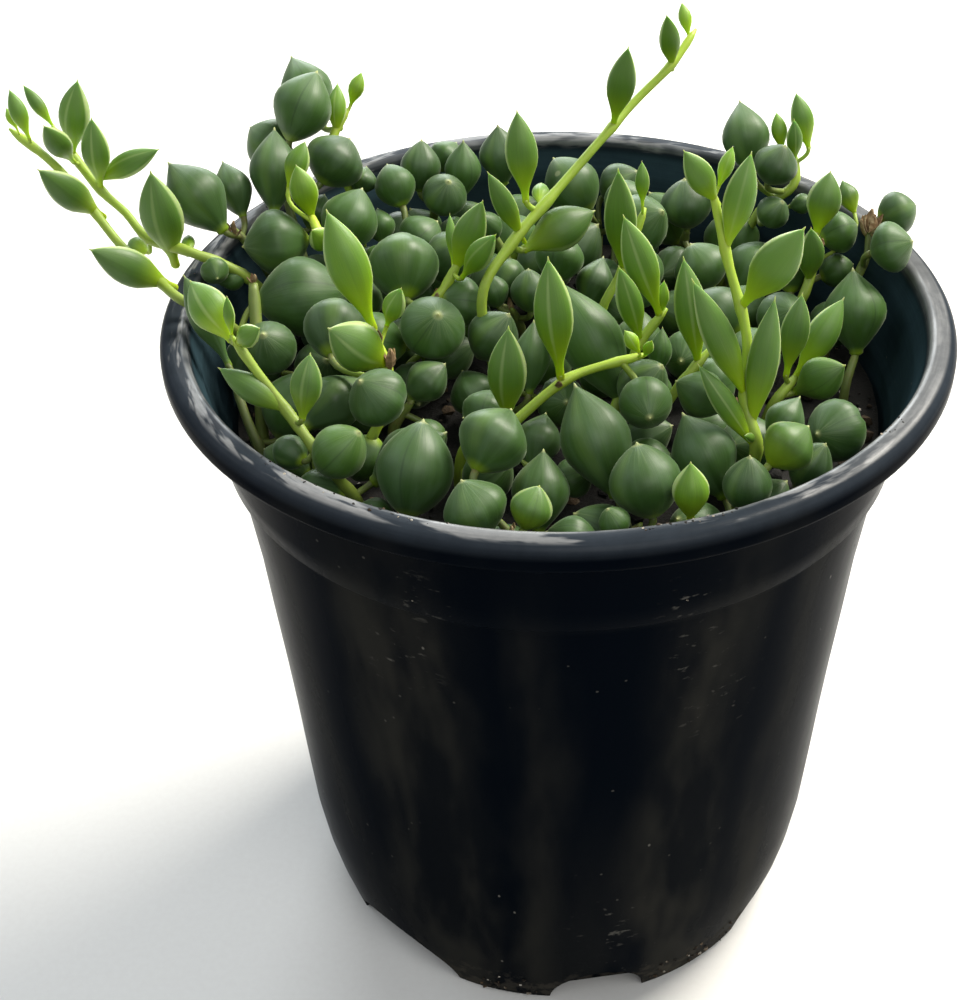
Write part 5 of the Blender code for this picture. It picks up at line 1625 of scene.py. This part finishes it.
def leaf_finish(name, glow, glow_reach, bloom_most, sheen):
    """A leaf's finish: how much light it lets through and how far, its bloom and its sheen."""
    leaf = Finish(name, Specular_IOR_Level=0.40, Subsurface_Weight=glow, Subsurface_Scale=glow_reach,
                  Subsurface_Radius=(0.5, 1.0, 0.08), Coat_Roughness=0.28, Coat_Weight=0.10,
                  Sheen_Weight=sheen, Sheen_Roughness=0.35, Sheen_Tint=colour(216, 228, 200))
    place = leaf.place()
    spot = leaf.attribute("leaf_place", "Vector")
    across, face, along = leaf.parts(spot)
    draw = leaf.attribute("draw")
    youth = leaf.attribute("youth")
    young = youth.step(0.30, 0.55)
    old = 1 - young

    # Patterns that run with the leaf, each leaf with its own.
    own = leaf.stretched(place, (25, 25, 25))
    lines = leaf.noise(leaf.added(leaf.stretched(spot, (25, 25, 1.2)), own), 0.75, 3.0, 0.65)
    blotch = leaf.noise(leaf.added(leaf.stretched(spot, (1.4, 1.4, 1.4)), own), 1.4, 2.0)
    mottle = leaf.noise(place, 260.0, 3.0)
    fine = leaf.noise(place, 2600.0, 2.0)

    # The age colour, lighter or darker by the lines.
    shade = leaf.ramp(youth + 0.12 * (draw - 0.5) + 0.16 * (blotch - 0.5), LEAF_STOPS)
    shade = leaf.lit(shade, 0.82 + 0.26 * draw + 0.36 * (lines - 0.5) + 0.16 * (mottle - 0.5))

    # Old leaves: a clearer window, grey bloom and pale rays round the point.
    window = abs(across + 0.45).step(0.34, 0.05) * face.step(0.1, -0.3) * draw.step(0.55, 0.45) * old
    shade = leaf.mix(shade, WINDOW, 0.4 * window * along.step(0.05, 0.3) * along.step(0.98, 0.8))
    bloom = blotch.step(0.40, 0.66) * (0.4 + 0.6 * mottle) * old
    shade = leaf.mix(shade, BLOOM, bloom_most * bloom)
    rays = lines.step(0.48, 0.62) * along.step(0.70, 0.96) * old
    shade = leaf.mix(shade, RAY, 0.24 * rays)

    # Young leaves: a dusty tip, a yellow-green base brightened as painted glow, a pale margin with
    # painted rim light along the edges, and a pale keel.
    shade = leaf.mix(shade, DUSTY, 0.34 * young * along.step(0.35, 0.95) * (0.2 + 0.8 * draw))
    # The young base is brightened as a painted glow of light shining through; old pearls' bases are a
    # paler green.
    base_green_and_painted_glow = 0.95 * young * along.step(0.60, 0.0) + 0.5 * old * along.step(0.12, 0.0)
    shade = leaf.mix(shade, LEAF_BASE_AND_GLOW, base_green_and_painted_glow)
    # Along the leaf's side edges: a pale margin that is also painted rim light.
    edge = abs(face).step(0.44, 0.20) * young * along.step(0.10, 0.45)
    shade = leaf.mix(shade, PALE_LINE_AND_RIM_LIGHT, 0.62 * edge)
    keel = abs(across + 0.12).step(0.16, 0.02) * face.step(0.0, -0.5) * young * draw.step(0.76, 0.82)
    shade = leaf.mix(shade, PALE_LINE_AND_RIM_LIGHT, 0.24 * keel * along.step(0.1, 0.4) * along.step(0.98, 0.8))

    # The dark seam and the scars of old leaves, and every leaf's pale point.
    off_seam = abs(across - SEAM_PLACE + 0.08 * (mottle - 0.5))
    seam = off_seam.step(0.05, 0.012) * face.step(0.0, -0.4) * old * draw.step(0.60, 0.66)
    seam = seam * along.step(0.08, 0.2) * along.step(0.97, 0.85)
    shade = leaf.mix(shade, SEAM, 0.34 * seam)
    scars = leaf.specks(place, 240.0, 0.16, 0.05) * old
    shade = leaf.mix(shade, SCAR, 0.5 * scars)
    shade = leaf.mix(shade, LEAF_POINT, 0.8 * along.step(0.94, 0.985))
    leaf.feed(Base_Color=shade, Roughness=0.40 + 0.14 * bloom + 0.12 * mottle + 0.06 * fine)
    leaf.bump(0.45 * lines + 0.12 * fine + 0.25 * mottle - 0.3 * scars, 0.12 * MM, 0.5)
    return leaf.material


pearl_skin = leaf_finish("pearl_skin", 0.08, 1.0 * MM, 0.26, 0.19)
young_skin = leaf_finish("young_skin", 0.22, 2.0 * MM, 0.0, 0.03)

# %% Stem finish
STEM_STOPS = [(0.0, colour(74, 82, 42)), (0.3, colour(98, 112, 54)), (0.6, colour(146, 172, 52)),
              (1.0, colour(182, 204, 54))]
STEM_SCAR = colour(118, 92, 58)

stem_skin = Finish("stem_skin", Specular_IOR_Level=0.5, Subsurface_Weight=0.2, Subsurface_Scale=1.5 * MM,
                   Subsurface_Radius=(0.6, 1.0, 0.15))
place = stem_skin.place()
youth = stem_skin.attribute("youth")
fibre = stem_skin.noise(place, 700.0, 4.0, 0.6)
patch = stem_skin.noise(place, 150.0, 3.0)
shade = stem_skin.lit(stem_skin.ramp(youth + 0.2 * (patch - 0.5), STEM_STOPS), 0.85 + 0.3 * fibre)
shade = stem_skin.mix(shade, STEM_SCAR, 0.6 * youth.step(0.5, 0.1) * fibre.step(0.5, 0.7))
stem_skin.feed(Base_Color=shade, Roughness=0.42 + 0.2 * fibre)
stem_skin.bump(fibre, 0.10 * MM, 0.5)
print("finishes:", pearl_skin.name, young_skin.name, stem_skin.material.name)

# %% [markdown]
# ## Dried bracts
#
# At some nodes an old leaf or flower stalk has dried to a brown, papery flake. One flake is modelled: a
# grid of eight faces is narrowed to its tip, curled by lifting its points row by row, and given the
# thickness of paper by a Solidify modifier. Copies stand where the photograph shows them, and in pairs at
# a few nodes of the bed's pearls.

# %% Model a bract
BRACT_THICKNESS = 0.05
BRACT_CURL = 0.55
BRACT_FOLD = 0.14
# A flake's rows from its foot to its tip: how wide, and how far it is lifted.
BRACT_ROWS = [(0.35, 0.0), (0.8, 0.10), (1.0, 0.30), (0.7, 0.62), (0.08, 1.0)]
# Bracts that the photograph shows: strand, x, y and z in millimetres, how many and how long.
BRACT_SPOTS = [
    ("shoot_heap_right", (45.6, 15.6, 107.8), 12, 2.6),
    ("shoot_heap_left", (-47, 16, 107.3), 3, 1.9),
    ("shoot_bright_left", (-22.4, -17.5, 107), 4, 2.6),
    ("shoot_bright_left", (-23.1, -16.5, 109), 2, 1.9),
    ("strand_08", (-21.6, -12.7, 95.2), 3, 2.6),
    ("shoot_diagonal", (0, -19.5, 104.9), 2, 1.9),
]
BRACT_SHARE = 0.12
BRACT_SEED = 3

start()
bpy.ops.mesh.primitive_grid_add(x_subdivisions=2, y_subdivisions=4, size=1.0)
bract = bpy.context.object
bract.name = "bract"
edit()
for row, (wide, lift) in enumerate(BRACT_ROWS):
    pick(lambda point: abs(point.co.y - (0.25 * row - 0.5)) < 0.01 and abs(point.co.z) < 1e-6)
    bpy.ops.transform.resize(value=(0.5 * wide, 1, 1), center_override=(0, 0, 0))
    bpy.ops.transform.translate(value=(0, 0, BRACT_CURL * lift))
pick(lambda point: abs(point.co.x) < 0.01)
bpy.ops.transform.translate(value=(0, 0, -BRACT_FOLD))
bpy.ops.mesh.select_all(action="SELECT")
bpy.ops.transform.translate(value=(0, 0.5, 0))
bpy.ops.object.mode_set(mode="OBJECT")
paper = bract.modifiers.new("paper", "SOLIDIFY")
paper.thickness = BRACT_THICKNESS
apply_all(bract)
clean(bract)
bract.hide_render = True
print("bract faces:", len(bract.data.polygons))

# %% Bract finish
DRY_STOPS = [(0.3, colour(84, 66, 50)), (0.5, colour(146, 120, 90)), (0.7, colour(200, 180, 146))]
# How much the flakes of one bract differ: their turn and tilt in radians, their size and their foot.
BRACT_TURN, BRACT_TILT = 0.6, (0.2, 1.3)
BRACT_SIZES, BRACT_SPREAD = (0.7, 1.1), 0.12

dry = Finish("dry_bract", Specular_IOR_Level=0.2)
place = dry.place()
vein = dry.noise(place, 1500.0, 3.0)
patch = dry.noise(place, 420.0, 2.0)
dry.feed(Base_Color=dry.ramp(0.5 * vein + 0.5 * patch, DRY_STOPS), Roughness=0.75 + 0.2 * patch)
dry.bump(vein, 0.08 * MM, 0.6)
bract.data.materials.append(dry.material)


def bracts_at(spot, count, size, draw):
    """Flakes that spread from one spot."""
    copies = []
    for number in range(count):
        compass = 2 * math.pi * number / count + draw.uniform(-BRACT_TURN, BRACT_TURN)
        turn = Matrix.Rotation(compass, 4, "Z") @ Matrix.Rotation(draw.uniform(*BRACT_TILT), 4, "X")
        own_size = size * draw.uniform(*BRACT_SIZES) * MM
        near = [(c + draw.gauss(0, BRACT_SPREAD * size)) * MM for c in spot]
        put = Matrix.Translation(Vector(near))
        copies.append(copied(bract, "bract", put @ turn @ Matrix.Scale(own_size, 4)))
    return copies


# %% [markdown]
# One stalk at the left has lost its leaf. It is a bare cord with a dried stub, as thick as the stems.

# %% Bare stalk
BARE_STALK = [(-40.6, -13.4, 90.5), (-40.7, -10.5, 97), (-41.2, -5, 103.5), (-41.7, -0.5, 109)]
STALK_SHARES, STALK_RADII = (0, 0.5, 0.9, 1), (0.9, 0.8, 0.85, 0.6)
STALK_YOUTH = 0.35
STUB_FLAKES = 4
STUB_SIZE = 1.5

line = smooth_path(BARE_STALK, 1.0)
thick = np.interp(np.linspace(0, 1, len(line)), STALK_SHARES, STALK_RADII)
stalk = cords("bare_stalk", [(line, thick)])
set_number(stalk.data, "youth", STALK_YOUTH)
stalk.data.materials.append(stem_skin.material)
stub = bracts_at(BARE_STALK[-1], STUB_FLAKES, STUB_SIZE, random.Random(BRACT_SEED))
stalk = joined([stalk] + stub)
stalk.name = "bare_stalk"
finish_piece(stalk, "young")

# %% [markdown]
# ## Growing each strand
#
# Every leaf is a copy of its form with its own mesh, stretched to its length and width, rolled a little
# and turned so that its outer side faces the light, as the plain leaf is. The leaves are joined to their
# stems and bracts, so that one piece takes the place of one plain strand.

# %% Grow every strand
PEARL_SWELL = 1.05
PEARL_THICK = 0.98
YOUNG_THICK = 0.74
LEAF_FACE = (0.0, -0.78, 0.63)
YOUNG_ROLL = 0.5
PEARL_ROLL = 1.5
YOUNG_SKIN_FROM = 0.35
NODE_BRACT_SIZE = (1.2, 2.0)


def grown_leaf(leaf):
    """A copy of the leaf's form, at its place and size."""
    young = leaf.freedom == SHOOT_FREEDOM
    across = unit(np.cross(leaf.along, LEAF_FACE))
    back = np.cross(leaf.along, across)
    half = 0.5 * leaf.width * (1.0 if young else PEARL_SWELL)
    thick = half * (YOUNG_THICK if young else PEARL_THICK)
    frame_of_leaf = np.eye(4)
    frame_of_leaf[:3, 0] = across * half * MM
    frame_of_leaf[:3, 1] = back * thick * MM
    frame_of_leaf[:3, 2] = leaf.along * leaf.length * MM
    frame_of_leaf[:3, 3] = leaf.base() * MM
    roll = Matrix.Rotation(leaf.roll * (YOUNG_ROLL if young else PEARL_ROLL), 4, "Z")
    grown = copied(FORMS[leaf.kind], "leaf", Matrix(frame_of_leaf.tolist()) @ roll)
    set_number(grown.data, "youth", leaf.youth)
    set_number(grown.data, "draw", leaf.draw)
    grown.data.materials.append(young_skin if leaf.youth > YOUNG_SKIN_FROM else pearl_skin)
    return grown


def bracts_of(name, strand, draw):
    """One strand's bracts: the listed ones, each on its nearest stem or stalk, and a few by the draw."""
    lines = [smooth_path(paths[name], 1.0)] + [stalk_line(leaf)[0] for leaf in strand]
    points = np.concatenate(lines)
    flakes = []
    for owner, spot, count, size in BRACT_SPOTS:
        if owner == name:
            nearest = points[np.linalg.norm(points - spot, axis=1).argmin()]
            flakes += bracts_at(nearest, count, size, draw)
    for leaf in strand:
        if leaf.freedom != SHOOT_FREEDOM and draw.random() < BRACT_SHARE:
            flakes += bracts_at(leaf.foot, 2, draw.uniform(*NODE_BRACT_SIZE), draw)
    return flakes


draw = random.Random(BRACT_SEED)
for name in paths:
    strand = [leaf for leaf in leaves if leaf.owner == name]
    stems = stems_of(name, strand)
    stems.data.materials.append(stem_skin.material)
    piece = joined([stems] + [grown_leaf(leaf) for leaf in strand] + bracts_of(name, strand, draw))
    piece.name = name + "_grown"
    old_strand = name.startswith(("strand", "shoot_heap"))
    finish_piece(piece, "pearl" if old_strand else "young", name)

# %% [markdown]
# ## Put the masters away
#
# The forms and crumbs that were copied have done their work, so they are removed.

# %% Put the masters away
for master in list(FORMS.values()) + CRUMBS + [bract]:
    bpy.data.objects.remove(master)
